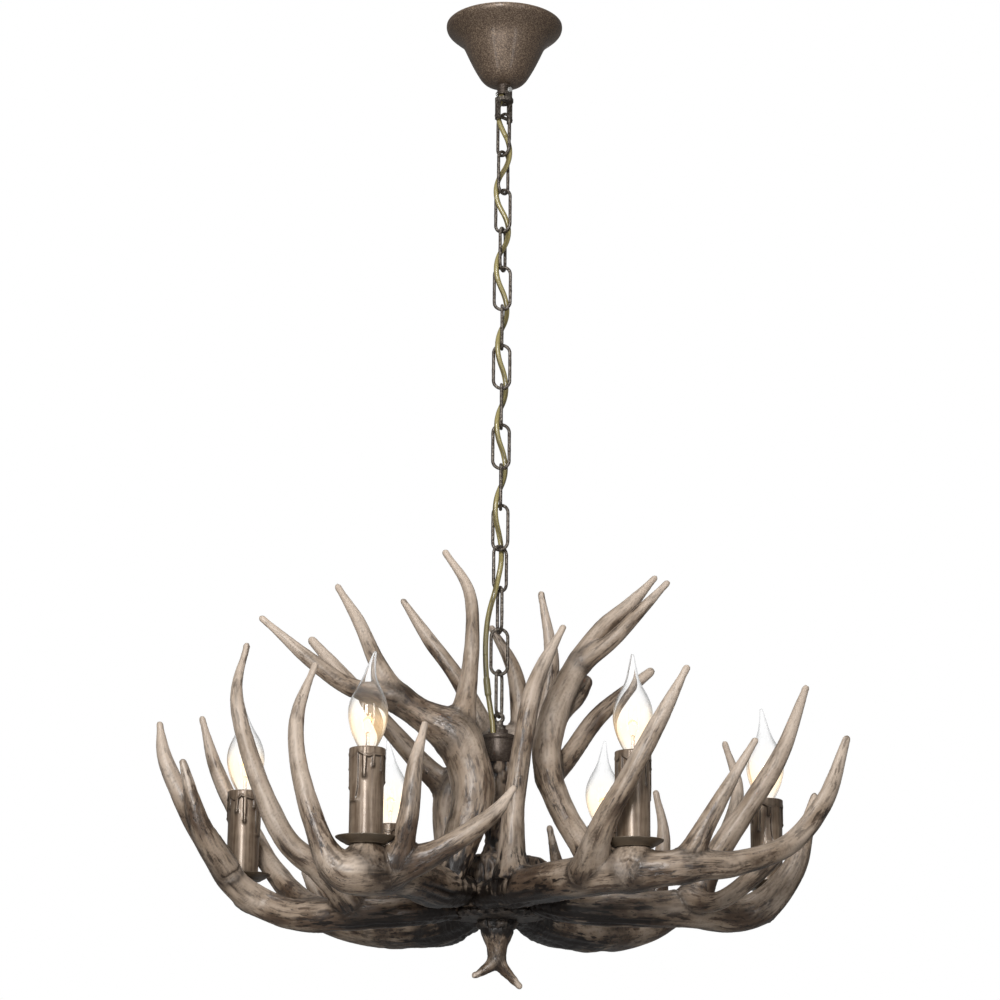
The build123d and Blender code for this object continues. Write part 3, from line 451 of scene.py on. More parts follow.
def speckle_group() -> bpy.types.NodeTree:
    """Fine and coarse mottling: two noises over the place, each stepped to a mask.

    Returns:
        The group.
    """
    if "speckle" in bpy.data.node_groups:
        return bpy.data.node_groups["speckle"]
    sizes = {"Fine": ("NodeSocketFloat", 900.0), "Coarse": ("NodeSocketFloat", 120.0)}
    group = new_group("speckle", sizes, ("Fine mask", "Coarse mask"))
    wire = Wiring(group)
    given, place = group.nodes["Group Input"].outputs, wire.place()
    for label, low, high in (("Fine", 0.5, 0.68), ("Coarse", 0.42, 0.66)):
        mask = wire.band(wire.noise(place, given[label], 4.0), low, high)
        wire.feed(group.nodes["Group Output"], {f"{label} mask": mask})
    return group


def streak_group() -> bpy.types.NodeTree:
    """Fibre of an antler: noise stretched along the limb, as soft bands, short dashes, thin lines and pits.

    The Fibre vector holds the place across, over and along the limb in metres.

    Returns:
        The group.
    """
    if "streaks" in bpy.data.node_groups:
        return bpy.data.node_groups["streaks"]
    labels = ("Bands", "Dashes", "Lines", "Pits")
    group = new_group("streaks", {"Fibre": ("NodeSocketVector", (0.0, 0.0, 0.0))}, labels)
    wire = Wiring(group)
    fibre = group.nodes["Group Input"].outputs["Fibre"]
    away = wire.maths("ABSOLUTE", wire.minus(wire.noise(fibre, (340.0, 340.0, 24.0), 3.0), 0.5))
    line = wire.minus(1.0, wire.band(away, 0.008, 0.034))
    gate = wire.band(wire.noise(fibre, (130.0, 130.0, 24.0), 2.0), 0.47, 0.6)
    masks = (
        wire.band(wire.noise(fibre, (130.0, 130.0, 12.0), 4.0), 0.34, 0.66),
        wire.band(wire.noise(fibre, (260.0, 260.0, 58.0), 4.0), 0.53, 0.59),
        wire.times(line, gate),
        wire.band(wire.noise(fibre, (480.0, 480.0, 200.0), 2.0), 0.6, 0.66),
    )
    wire.feed(group.nodes["Group Output"], dict(zip(labels, masks)))
    return group


# --------------------------------------------------------------------------- finishes


@dataclass(frozen=True)
class Finish:
    """A material by name; each kind says what its surface shader's inputs get."""

    name: str

    def feeds(self, wire: Wiring) -> dict[str | int, object]:
        """Sockets, numbers and colours by the shader's input."""
        raise NotImplementedError

    def build(self) -> bpy.types.Material:
        """Make the material once and return it."""
        if self.name not in bpy.data.materials:
            made = bpy.data.materials.new(self.name)
            made.use_nodes = True
            wire = Wiring(made.node_tree)
            wire.feed(made.node_tree.nodes["Principled BSDF"], self.feeds(wire))
        return bpy.data.materials[self.name]


@dataclass(frozen=True)
class Paint(Finish):
    """One colour, mottled by a second, with a shallow hammered surface.

    The colour is the first where the speckle group's masks are 0 and goes to the second where both are 1, by
    the amount. Fine and coarse are the masks' noise scales, and dent is the hammering's depth in metres.
    """

    colour: Colour
    fleck: Colour
    metallic: float = 0.0
    roughness: float = 0.5
    dent: float = 0.0
    fine: float = 900.0
    coarse: float = 120.0
    coat: float = 0.0
    amount: float = 0.6

    def feeds(self, wire: Wiring) -> dict[str | int, object]:
        """Mottled colour and roughness, and the dents where there are any."""
        sizes = {"Fine": self.fine, "Coarse": self.coarse}
        fine, coarse = wire.add("Group", sizes, node_tree=speckle_group()).outputs
        made = {
            "Base Color": wire.tint(wire.times(wire.plus(fine, coarse), self.amount / 2), self.colour, self.fleck),
            "Metallic": self.metallic,
            "Coat Weight": self.coat,
            "Roughness": wire.spread(coarse, self.roughness, self.roughness + 0.15),
        }
        if self.dent:
            made["Normal"] = wire.bump(wire.noise(wire.place(), self.coarse * 2, 2.0), 0.6, self.dent)
        return made


@dataclass(frozen=True)
class AntlerFinish(Finish):
    """Painted antler: cream with brown stains, dashes along the fibre, pale tips and black bark near the hub, with
    painted shade on the undersides and in the crotches.

    The piece's points carry fibre (place across, over and along the limb), age (0 to 1, how stained,
    plus painted shade on faces turned down), pale (0 at the root to 1 at a tip), crease (1 in furrows and crotches:
    dark cracks in the furrows, painted shade in the crotches) and bark (1 where it is black bark, and where a lower
    antler's underside has painted shade beside the hub).
    """

    name: str = "weathered_antler_and_shade"
    pale: Colour = (0.60, 0.49, 0.395)
    tan: Colour = (0.30, 0.222, 0.157)
    brown: Colour = (0.085, 0.053, 0.034)
    dark: Colour = (0.014, 0.0095, 0.0072)
    patch_scale: float = 19.0
    patch_share: float = 2.9
    dry_rough: float = 0.42
    stained_rough: float = 0.3

    def feeds(self, wire: Wiring) -> dict[str | int, object]:
        """Colours laid over each other by masks, from the cream ground to the black bark."""
        age, bark, crease, pale = (wire.attribute(label) for label in ("age", "bark", "crease", "pale"))
        fibre = wire.attribute("fibre", "Vector")
        bands, dashes, lines, pits = wire.add("Group", {"Fibre": fibre}, node_tree=streak_group()).outputs
        patch = wire.minus(wire.noise(wire.place(), self.patch_scale, 5.0), 0.5)
        # The stain value holds painted shade on faces turned down, besides the stains.
        stain_and_shade_sum = wire.plus(age, wire.times(patch, self.patch_share))
        clean = wire.plus(pale, wire.times(wire.minus(wire.times(bands, 0.35), stain_and_shade_sum), 0.75))
        brown_stain_and_shade = wire.minus(stain_and_shade_sum, wire.times(bands, 0.25))
        black = wire.plus(bark, wire.times(wire.minus(dashes, bands), 0.3))
        base = wire.tint(wire.band(clean, -0.45, 0.85), self.tan, self.pale)
        layers = (
            (wire.band(brown_stain_and_shade, 0.26, 0.8), 0.88, self.brown),
            (wire.times(dashes, wire.band(stain_and_shade_sum, 0.12, 0.62)), 0.85, self.brown),
            (wire.times(lines, wire.band(stain_and_shade_sum, 0.0, 0.6)), 0.85, self.dark),
            (wire.times(pits, wire.band(stain_and_shade_sum, 0.25, 0.8)), 0.8, self.dark),
            # Dark cracks in the furrows and painted shade in the crotches.
            (crease, 0.8, self.dark),
        )
        for mask, amount, colour in layers:
            base = wire.tint(wire.times(mask, amount), base, colour)
        cut = wire.plus(wire.times(lines, 0.8), wire.times(pits, 0.4))
        return {
            "Base Color": wire.tint(wire.band(black, 0.1, 0.5), base, self.dark),
            "Roughness": wire.spread(stain_and_shade_sum, self.dry_rough, self.stained_rough),
            "Normal": wire.bump(wire.minus(wire.times(bands, 0.4), cut), 0.45, 0.6 * MM),
        }


@dataclass(frozen=True)
class BarkFinish(Finish):
    """Resin bark: black grooves between brown-grey ridges. The points carry ridge, from 0 to 1."""

    name: str = "dark_bark"
    ridge: Colour = (0.24, 0.18, 0.13)
    side: Colour = (0.085, 0.06, 0.043)
    groove: Colour = (0.012, 0.009, 0.0075)

    def feeds(self, wire: Wiring) -> dict[str | int, object]:
        """Three colours by the ridge's height, which fine upright noise breaks up."""
        fine = wire.noise(wire.place(), (620.0, 620.0, 120.0), 4.0)
        height = wire.plus(wire.attribute("ridge"), wire.times(wire.minus(fine, 0.5), 0.7))
        base = wire.tint(wire.band(height, 0.05, 0.5), self.groove, self.side)
        base = wire.tint(wire.band(height, 0.45, 1.0), base, self.ridge)
        return {"Base Color": base, "Roughness": 0.48, "Normal": wire.bump(fine, 0.7, 0.6 * MM)}


@dataclass(frozen=True)
class GlassFinish(Finish):
    """Clear thin lamp glass, greyed by painted shade where it is seen edge-on, and warm where its points carry glow."""

    name: str = "lamp_glass"
    clear: Colour = (0.965, 0.965, 0.965)
    warm: Colour = (1.0, 0.93, 0.8)
    # rim is the painted shade of glass seen edge-on.
    rim: Colour = (0.36, 0.36, 0.355)

    def feeds(self, wire: Wiring) -> dict[str | int, object]:
        """Full transmission, tinted by painted shade where the view grazes the glass and by the glow."""
        edge, glow = wire.add("LayerWeight", {"Blend": 0.5}).outputs["Facing"], wire.attribute("glow")
        tint = wire.tint(wire.band(edge, 0.2, 0.9), wire.tint(glow, self.clear, self.warm), self.rim)
        return {
            "Base Color": tint, "Emission Color": (1.0, 0.7, 0.4), "Emission Strength": wire.times(glow, 0.16),
            "Roughness": 0.01, "Transmission Weight": 1.0, "IOR": 1.45,
        }


@dataclass(frozen=True)
class GlowFinish(Finish):
    """A lit filament: warm light from the surface itself."""

    name: str = "filament"
    colour: Colour = (1.0, 0.5, 0.16)
    strength: float = 3.0

    def feeds(self, wire: Wiring) -> dict[str | int, object]:
        """The same colour for the surface and its light."""
        return {"Base Color": self.colour, "Emission Color": self.colour, "Emission Strength": self.strength}


@dataclass(frozen=True)
class FloorFinish(Finish):
    """Matt pale floor that looks lit to the camera, and throws only its own reflected light on the object."""

    name: str = "pale_floor"
    colour: Colour = (0.84, 0.84, 0.83)
    matte: Colour = (0.32, 0.32, 0.32)
    glow: float = 0.85

    def feeds(self, wire: Wiring) -> dict[str | int, object]:
        """Emission for camera rays alone."""
        seen = wire.add("LightPath").outputs["Is Camera Ray"]
        return {
            "Base Color": self.matte, "Roughness": 0.8, "Emission Color": self.colour,
            "Emission Strength": wire.times(seen, self.glow),
        }


@dataclass(frozen=True)
class CordFinish(Finish):
    """Clear golden sheath over two darker cores. The points carry core, which is above 0 over a core."""

    name: str = "golden_cord"
    sheath: Colour = (0.34, 0.285, 0.115)
    core: Colour = (0.15, 0.12, 0.045)

    def feeds(self, wire: Wiring) -> dict[str | int, object]:
        """The core's colour seen through a glossy coat."""
        base = wire.tint(wire.band(wire.attribute("core"), 0.1, 0.9), self.sheath, self.core)
        return {"Base Color": base, "Roughness": 0.3, "Coat Weight": 0.6, "Coat Roughness": 0.12}


@dataclass(frozen=True)
class SleeveFinish(Finish):
    """Satin brown paint on a candle sleeve: upright brush marks whose lighter streaks are painted sheen, and painted
    shade on the steep edge of the wax.

    The piece's points carry crease, which is 1 on the steep edge of the wax.
    """

    name: str = "brown_sleeve"
    # light colours the streaks of painted sheen, and dark is the painted shade at the wax's edge.
    light: Colour = (0.285, 0.215, 0.155)
    brown: Colour = (0.15, 0.103, 0.068)
    dark: Colour = (0.03, 0.02, 0.013)

    def feeds(self, wire: Wiring) -> dict[str | int, object]:
        """Brushed colour with streaks of painted sheen, under painted shade at the wax's edge, and the brush marks as a
        shallow bump.
        """
        place = wire.place()
        # The upright noise gives brush marks, and its lighter streaks are painted sheen.
        upright = wire.noise(place, (330.0, 330.0, 26.0), 3.0)
        share = wire.band(wire.plus(upright, wire.times(wire.noise(place, 85.0, 3.0), 0.6)), 0.58, 1.0)
        # Painted shade along the steep edge of the wax.
        wax_edge_shade = wire.maths("MULTIPLY", wire.attribute("crease"), 0.85, clamp=True)
        return {
            "Base Color": wire.tint(wax_edge_shade, wire.tint(share, self.brown, self.light), self.dark),
            "Metallic": 0.25, "Roughness": 0.36, "Coat Weight": 0.15,
            "Normal": wire.bump(upright, 0.35, 0.2 * MM),
        }


ANTLER = AntlerFinish()
HUB_BARK = BarkFinish()
BURR = BarkFinish("black_burr", (0.085, 0.066, 0.052), (0.03, 0.022, 0.017), (0.008, 0.006, 0.005))
GLASS = GlassFinish()
DARK_METAL = Paint(
    "hammered_bronze", (0.075, 0.056, 0.044), (0.24, 0.19, 0.15), 0.45, 0.36, dent=0.4 * MM, fine=800.0, coarse=420.0
)
CHAIN_METAL = Paint(
    "chain_metal", (0.06, 0.046, 0.036), (0.36, 0.32, 0.27), 0.65, 0.4, dent=0.6 * MM, coarse=420.0, amount=1.0
)
CANOPY_PAINT = Paint(
    "speckled_canopy", (0.085, 0.056, 0.04), (0.46, 0.34, 0.23), 0.3, 0.36, dent=0.3 * MM, fine=1100.0,
    coarse=700.0, coat=0.2, amount=0.8,
)
STEEL = Paint("zinc_steel", (0.82, 0.82, 0.8), (0.7, 0.7, 0.7), 0.6, 0.25)
PAN_PAINT = Paint(
    "olive_pan", (0.125, 0.094, 0.062), (0.075, 0.054, 0.035), 0.3, 0.4, dent=0.3 * MM, coarse=130.0, coat=0.2
)
HOLDER_PLASTIC = Paint("holder_plastic", (0.03, 0.03, 0.03), (0.05, 0.05, 0.05))
BRASS = Paint("brass", (0.72, 0.55, 0.3), (0.6, 0.45, 0.25), 1.0, 0.25)
WHITE_PLASTIC = Paint("white_plastic", (0.75, 0.74, 0.7), (0.7, 0.69, 0.65), 0.0, 0.45)
SLEEVING = Paint("shrink_tube", (0.3, 0.26, 0.12), (0.24, 0.2, 0.09), 0.0, 0.3, coat=0.5)


# --------------------------------------------------------------------------- limbs


@dataclass
class Limb:
    """A tapering limb: stations along its middle, with their radius, frame and length from the root, in metres."""

    middle: Array
    radius: Array
    along: Array = field(init=False)
    across: Array = field(init=False)
    over: Array = field(init=False)
    length: Array = field(init=False)

    def __post_init__(self) -> None:
        """Work out the frames, where each across is the one before it made square to the path, and the length."""
        self.along = unit(np.gradient(self.middle, axis=0))
        self.across = np.empty_like(self.middle)
        last = np.array([0.0, 0.0, 1.0] if abs(self.along[0, 2]) < 0.8 else [1.0, 0.0, 0.0])
        for station, direction in enumerate(self.along):
            last = unit(last - direction * (direction @ last))
            self.across[station] = last
        self.over = np.cross(self.along, self.across)
        self.length = run_length(self.middle)

    @classmethod
    def through(cls, knots: Rows, spacing: float, rounded: bool = True) -> Limb:
        """A limb through knots, with even stations.

        Args:
            knots: Rows of x, y, z and radius in millimetres.
            spacing: Metres between stations.
            rounded: Whether the end is a dome, by the circle's formula, or flat.

        Returns:
            The limb.
        """
        least_tip, dome = 3.7 * MM, np.radians([30.0, 60.0, 84.0])
        line = smooth_profile(knots, 12)
        length = run_length(line[:, :3])
        even = np.linspace(0.0, length[-1], max(4, int(length[-1] / spacing)))
        line = resampled(even, length, line)
        middle, radius = line[:, :3], line[:, 3]
        if rounded:
            end = unit(middle[-1] - middle[-2])
            radius = np.maximum(radius, least_tip)
            middle = np.vstack([middle, middle[-1] + end * np.sin(dome)[:, None] * radius[-1]])
            radius = np.concatenate([radius, radius[-1] * np.cos(dome)])
        return cls(middle, radius)

    def tube(self, sides: int) -> Solid:
        """A closed round tube along the limb."""
        rings = ring_points(self.middle, self.across, self.over, self.radius, sides)
        return rings, grid_faces(len(self.middle), sides)

    def measure(self, points: Array) -> tuple[Array, Array, Array]:
        """Where points are as the limb sees them.

        Args:
            points: Array (n, 3).

        Returns:
            Distance outside the limb's skin, place as (across, over, along from the root), and the radius there.
        """
        away = (points**2).sum(axis=1)[:, None] + (self.middle**2).sum(axis=1) - 2 * points @ self.middle.T
        skin = np.sqrt(np.maximum(away, 0.0)) - self.radius
        near = skin.argmin(axis=1)
        offset = points - self.middle[near]
        place = np.stack([(offset * way[near]).sum(axis=1) for way in (self.across, self.over, self.along)], axis=1)
        place[:, 2] += self.length[near]
        return skin[np.arange(len(points)), near], place, self.radius[near]


def grown_together(name: str, limbs: list[Limb], sides: int, voxel: float) -> Piece:
    """One even skin, remeshed at the voxel's size and smoothed, over every limb's tube.

    Args:
        name: The piece's name.
        limbs: The limbs that grow together.
        sides: Points round each limb's tube.
        voxel: Size of the skin's mesh in metres.

    Returns:
        The new object.
    """
    piece = joined(name, [limb.tube(sides) for limb in limbs])
    remesh = piece.modifiers.new("skin", "REMESH")
    remesh.mode, remesh.voxel_size, remesh.use_smooth_shade = "VOXEL", voxel, True
    relax = piece.modifiers.new("relax", "SMOOTH")
    relax.factor, relax.iterations = 0.5, 4
    made = bpy.data.meshes.new_from_object(piece.evaluated_get(bpy.context.evaluated_depsgraph_get()))
    old = piece.data
    piece.modifiers.clear()
    piece.data = made
    made.name = name
    bpy.data.meshes.remove(old)
    return piece


# --------------------------------------------------------------------------- antlers


@dataclass(frozen=True)
class LampSpot:
    """Where a candle lamp stands: sizes in millimetres, directions in degrees from +X in plan."""

    x: float
    y: float
    top: float
    root: tuple[float, float, float, float]
    seat_r: float
    flame_turn: float
    flame_lean: float
    flare: float = 7.0

    @property
    def seat(self) -> float:
        """Height of the flat seat under the pan."""
        return self.top - SLEEVE_LENGTH - PAN_WALL - 2 * SEAT_GAP

    @property
    def pedestal(self) -> Rows:
        """Knots of the limb that carries the seat; the flare widens it under the seat.

        Returns:
            Rows of x, y, z and radius in millimetres.
        """
        spot = self.x, self.y
        return (
            self.root, (*spot, self.seat - 17, self.seat_r + self.flare),
            (*spot, self.seat - 5, self.seat_r + 1 + 0.3 * self.flare), (*spot, self.seat, self.seat_r + 0.5),
        )


@dataclass(frozen=True)
class AntlerForm:
    """An antler's beam and tines as knots (x, y, z, radius) in millimetres, from root to tip."""

    name: str
    beam: Rows
    tines: tuple[Rows, ...] = ()
    lamp: LampSpot | None = None


@dataclass
class Antler:
    """One antler with a fibrous skin, blended where its tines leave the beam."""

    form: AntlerForm
    seed: int
    upper: bool = False
    spacing: float = 2.5 * MM
    sides: int = 28
    voxel: float = 1.7 * MM
    web: float = 3.5 * MM
    furrow: float = 0.75 * MM
    bark_depth: float = 1.5 * MM
    rib_depth: float = 1.3 * MM

    def build(self) -> None:
        """Make the antler."""
        limbs = [Limb.through(knots, self.spacing) for knots in (self.form.beam, *self.form.tines)]
        if self.form.lamp:
            limbs.append(Limb.through(self.form.lamp.pedestal, self.spacing, rounded=False))
        name = f"{self.form.name}_skin"
        piece = grown_together(name, limbs, self.sides, self.voxel * (1.0))
        self.carve(piece, limbs)
        own(piece, ANTLER, Body.FIXTURE, self.form.name)
        LOG.info("%s: %d limbs, %d points", name, len(limbs), len(piece.data.vertices))

    def carve(self, piece: Piece, limbs: list[Limb]) -> None:
        """Shape the skin and mark it for the material.

        Every point is moved along its normal. The move fills the crotches by the smooth minimum of its
        distances to the limbs, -web * log(sum(exp(-distance / web))), and adds uneven thickness, furrows that
        run along the limb, ridged bark near the hub and ribs where a lower antler's underside is black.

        Args:
            piece: The antler.
            limbs: Its limbs.
        """
        points, normals = read_rows(piece.data.vertices, "co"), read_rows(piece.data.vertex_normals, "vector")
        seen = [limb.measure(points) for limb in limbs]
        skin = np.stack([one[0] for one in seen], axis=1)
        share = np.exp(-(skin - skin.min(axis=1, keepdims=True)) / self.web)
        total = share.sum(axis=1, keepdims=True)
        fillet = self.web * np.log(total[:, 0])
        share /= total
        lump, furrow, fleck, pale, ribs, radius = np.zeros((6, len(points)))
        fibre, nearest = np.zeros((len(points), 3)), share.argmax(axis=1)
        for number, (limb, (_, place, here)) in enumerate(zip(limbs, seen)):
            weight, mine = share[:, number], nearest == number
            fibre[mine] = place[mine] + [0.0, 0.0, 0.7 * number + 2.9 * self.seed]
            far = ease(place[:, 2] / limb.length[-1], 0.55, 1.0)
            place = place / MM
            seed = self.seed * 40 + number * 4
            lump += weight * layered_noise(place / [17, 17, 26], seed, 2)
            furrow += weight * self.furrows(place, seed + 1)
            fleck += weight * layered_noise(place * [0.16, 0.16, 0.035], seed + 2)
            stripes = layered_noise(place * [0.15, 0.15, 0.009], self.seed * 40 + 33, 2)
            ribs += weight * (1 - 3 * np.abs(stripes))
            pale += weight * far * ease(12 - here / MM, 1.0, 7.0)
            radius += weight * here
        bark = self.bark_share(points)
        knobs = layered_noise(points / MM * [0.2, 0.2, 0.11], self.seed + 900)
        bark_and_underside_shade = self.bark_and_underside_shade_share(points, normals, knobs)
        depth = self.furrow * (0.25 + 0.75 * ease(radius / MM, 5.0, 15.0)) * (1 - bark)
        move = fillet * (share.max(axis=1) < 0.999) + lump * radius * 0.075 * (1 - 0.5 * bark) - depth * furrow
        move += self.bark_depth * bark * (knobs - 0.25) + self.rib_depth * bark_and_underside_shade * (ribs - 0.4)
        points = self.clear_of_lamps(points + normals * move[:, None])
        piece.data.vertices.foreach_set("co", points.reshape(-1))
        piece.data.update()
        far = 1 - ease(np.hypot(points[:, 0], points[:, 1]) / MM, 90.0, 280.0)
        low = 1 - ease(points[:, 2] / MM, -960.0, -800.0)
        under = ease(-normals[:, 2], -0.35, 0.75)
        mark(piece, "fibre", fibre)
        shades = {
            # Dark cracks in the furrows, and painted shade in the crotches that the fillet fills.
            "crease": 0.8 * furrow * (1 - 0.6 * pale) + 0.6 * ease(fillet / MM, 0.5, 1.8),
            # Stains, with painted shade added on faces turned down (the under term).
            "age": 0.08 + 0.45 * fleck + 0.28 * low + 0.2 * far + 0.25 * under - 0.5 * pale,
            "pale": pale + 0.35 * np.clip(lump, 0, 1),
            # Black bark, and beside the hub the painted shade on a lower antler's downward faces.
            "bark": np.maximum(bark * (0.8 - 0.9 * knobs), bark_and_underside_shade * (0.9 - 0.5 * ribs)),
        }
        for name, shade in shades.items():
            mark(piece, name, np.clip(shade, 0, 1))

    def furrows(self, place: Array, seed: int) -> Array:
        """Thin lines along the limb: one where stretched noise crosses zero, falling to none away from it.

        Args:
            place: Array (n, 3) across, over and along the limb, in millimetres.
            seed: Which noise.

        Returns:
            Array (n,) from 0 to 1.
        """
        sway = lattice_noise(place * [0.03, 0.03, 0.02], seed + 7)[:, None] * [2.5, 2.5, 0.0]
        wide = np.abs(layered_noise((place + sway) * [0.2, 0.2, 0.014], seed, 2))
        thin = np.abs(layered_noise((place + sway) * [0.5, 0.5, 0.028], seed + 3, 2))
        gate = ease(lattice_noise(place * [0.09, 0.09, 0.02], seed + 5), -0.45, 0.35)
        return np.clip(0.75 * gate * np.exp(-((wide / 0.07) ** 2)) + 0.5 * np.exp(-((thin / 0.1) ** 2)), 0, 1)

    def bark_and_underside_shade_share(self, points: Array, normals: Array, knobs: Array) -> Array:
        """How black and ribbed a lower antler's underside is: black bark most beside the hub, with painted shade
        strongest on faces turned down, and none 225 mm from the axis.

        Args:
            points: Array (n, 3) in metres.
            normals: Array (n, 3).
            knobs: Noise that makes the edge wander, (n,).

        Returns:
            Array (n,).
        """
        if self.upper:
            return np.zeros(len(points))
        near = 1 - ease(np.hypot(points[:, 0], points[:, 1]) / MM + 18 * knobs, 95.0, 225.0)
        deep = 1 - ease(points[:, 2] / MM, -948.0, -905.0)
        # The normal's term is painted shade, darkest on faces turned down.
        return near * deep * (0.15 + 0.95 * ease(-normals[:, 2], -0.35, 0.75))

    def bark_share(self, points: Array) -> Array:
        """How much a point is bark: 1 beside the hub, or at an upper antler's foot, and 0 further out.

        Args:
            points: Array (n, 3) in metres.

        Returns:
            Array (n,) from 0 to 1.
        """
        wander = 16 * layered_noise(points / MM * 0.03, self.seed + 70, 2)
        if self.upper:
            return ease(-points[:, 2] / MM + wander, 880.0, 925.0)
        low = 1 - ease(points[:, 2] / MM + wander, -925.0, -900.0)
        return ease(-(np.hypot(points[:, 0], points[:, 1]) / MM + wander), -120.0, -70.0) * low

    def clear_of_lamps(self, points: Array) -> Array:
        """Points inside a lamp's room go down to its seat or out to the pan's rim, whichever is nearer.

        Args:
            points: Array (n, 3) in metres.

        Returns:
            The points, moved where they have to be.
        """
        lamp = self.form.lamp
        if not lamp:
            return points
        offset = points[:, :2] - np.array([lamp.x, lamp.y]) * MM
        reach = np.linalg.norm(offset, axis=1)
        room, seat = (PAN_R + 0.6) * MM, lamp.seat * MM
        inside = (reach < room) & (points[:, 2] > seat) & (points[:, 2] < (lamp.top + 10) * MM)
        down = inside & (points[:, 2] - seat < room - reach)
        out = inside & ~down
        moved = points.copy()
        moved[down, 2] = seat
        moved[out, :2] += offset[out] * (room / reach[out] - 1)[:, None]
        return moved


# Knots as in the part's own source
LOWER_ANTLERS = (
    AntlerForm("lower_antler_front_left", (
        (-26, -30, -936, 14), (-60, -95, -939, 20), (-91, -155, -935, 20), (-122, -200, -939, 22),
        (-147, -212, -937, 18), (-163, -216, -912, 11.5), (-184, -213, -847, 8.6), (-188, -206, -795, 7),
        (-173, -200, -746, 2.5),
    ), (
        ((-100, -190, -937, 17), (-53, -197, -918, 11.5), (-7, -198, -887, 8.2), (14, -194, -860, 3)),
        ((-94, -196, -930, 14), (-83, -210, -892, 10), (-77, -210, -840, 7.6), (-69, -208, -803, 2.5)),
    ), LampSpot(-122, -204, -825, (-118, -203, -935, 17), 13, 20, 6)),
    AntlerForm("lower_antler_front_right", (
        (-16, -40, -942, 14), (31, -92, -938, 18.5), (88, -175, -938, 19), (131, -208, -937, 17.5),
        (177, -212, -933, 14.5), (224, -194, -927, 12), (274, -160, -905, 10.2), (312, -130, -858, 9),
        (337, -105, -795, 4),
    ), (
        ((14, -80, -930, 20), (14, -80, -900, 13.5), (15, -80, -864, 11), (24, -76, -794, 10), (37, -72, -733, 8.5),
         (63, -68, -679, 3)),
        ((84, -180, -934, 17), (92, -222, -908, 12.5), (101, -236, -888, 11), (119, -246, -857, 9.5),
         (148, -252, -803, 7.6), (172, -256, -757, 3)),
        ((170, -211, -934, 13), (200, -216, -880, 8), (237, -222, -818, 3.5)),
    ), LampSpot(125, -204, -826, (126, -206, -935, 17), 15, 100, 1)),
    AntlerForm("lower_antler_left", (
        (-38, -10, -949, 13), (-75, -42, -955, 15.5), (-114, -56, -960, 15.5), (-153, -50, -962, 15),
        (-193, -34, -962, 15), (-229, -20, -950, 14.5), (-259, -30, -930, 13.5), (-278, -42, -902, 12.5),
        (-298, -46, -872, 11.5), (-315, -48, -841, 9.5), (-330, -48, -808, 7.2), (-336, -46, -776, 3),
    ), (
        ((-264, -40, -920, 12), (-290, -60, -878, 10), (-309, -68, -817, 4)),
        ((-172, -38, -960, 14), (-197, 0, -942, 13), (-220, 24, -916, 11.5), (-256, 36, -867, 9),
         (-287, 40, -807, 7.6), (-304, 42, -754, 3)),
        ((-138, -54, -958, 15), (-169, -76, -924, 12.8), (-204, -85, -895, 11.6), (-233, -88, -837, 9.6),
         (-257, -82, -757, 6.8), (-250, -72, -701, 2.4)),
    ), LampSpot(-254, 0, -835, (-244, -16, -944, 12), 9, 200, 9, flare=0.5)),
    AntlerForm("lower_antler_right", (
        (34, -22, -943, 13.5), (80, -60, -953, 17.5), (138, -66, -956, 17.5), (187, -55, -956, 17.5),
        (233, -32, -957, 17.5), (264, -28, -945, 16), (288, -38, -917, 12.5), (299, -38, -889, 10), (313, -32, -840, 4),
    ), (
        ((192, -55, -945, 15), (214, -63, -901, 12), (251, -68, -847, 10), (278, -70, -802, 8.4),
         (303, -66, -738, 3.5)),
        ((182, -62, -945, 12), (214, -90, -950, 9), (256, -112, -919, 8.4), (287, -116, -888, 3)),
    ), LampSpot(268, 0, -839, (262, -14, -950, 14), 11, 170, 3, flare=0.5)),
    AntlerForm("lower_antler_back_left", (
        (-18, 34, -949, 14), (-48, 85, -958, 18.5), (-91, 140, -957, 19.5), (-130, 195, -949, 19.5),
        (-168, 214, -941, 17.5), (-203, 214, -927, 13.5), (-240, 210, -885, 10), (-262, 205, -838, 4),
    ), (
        ((-170, 212, -936, 12), (-190, 206, -914, 9), (-206, 200, -890, 4)),
        ((-62, 100, -956, 14), (-48, 112, -896, 10.5), (-40, 124, -842, 8), (-34, 130, -800, 4)),
    ), LampSpot(-116, 204, -838, (-122, 198, -948, 17), 13, 150, 5)),
    AntlerForm("lower_antler_back_right", (
        (20, 34, -949, 14), (49, 85, -958, 18.5), (92, 140, -958, 20.5), (130, 190, -950, 20.5), (165, 212, -940, 18.5),
        (198, 212, -918, 15), (224, 200, -886, 11.8), (243, 190, -851, 9.1), (256, 176, -802, 6.9), (242, 165, -754, 3),
    ), (
        ((166, 210, -934, 14), (178, 205, -852, 7.5), (170, 200, -802, 3)),
        ((78, 118, -952, 13), (62, 118, -890, 7), (54, 120, -852, 3)),
    ), LampSpot(113, 204, -837, (124, 194, -950, 17), 13, 60, 5)),
)

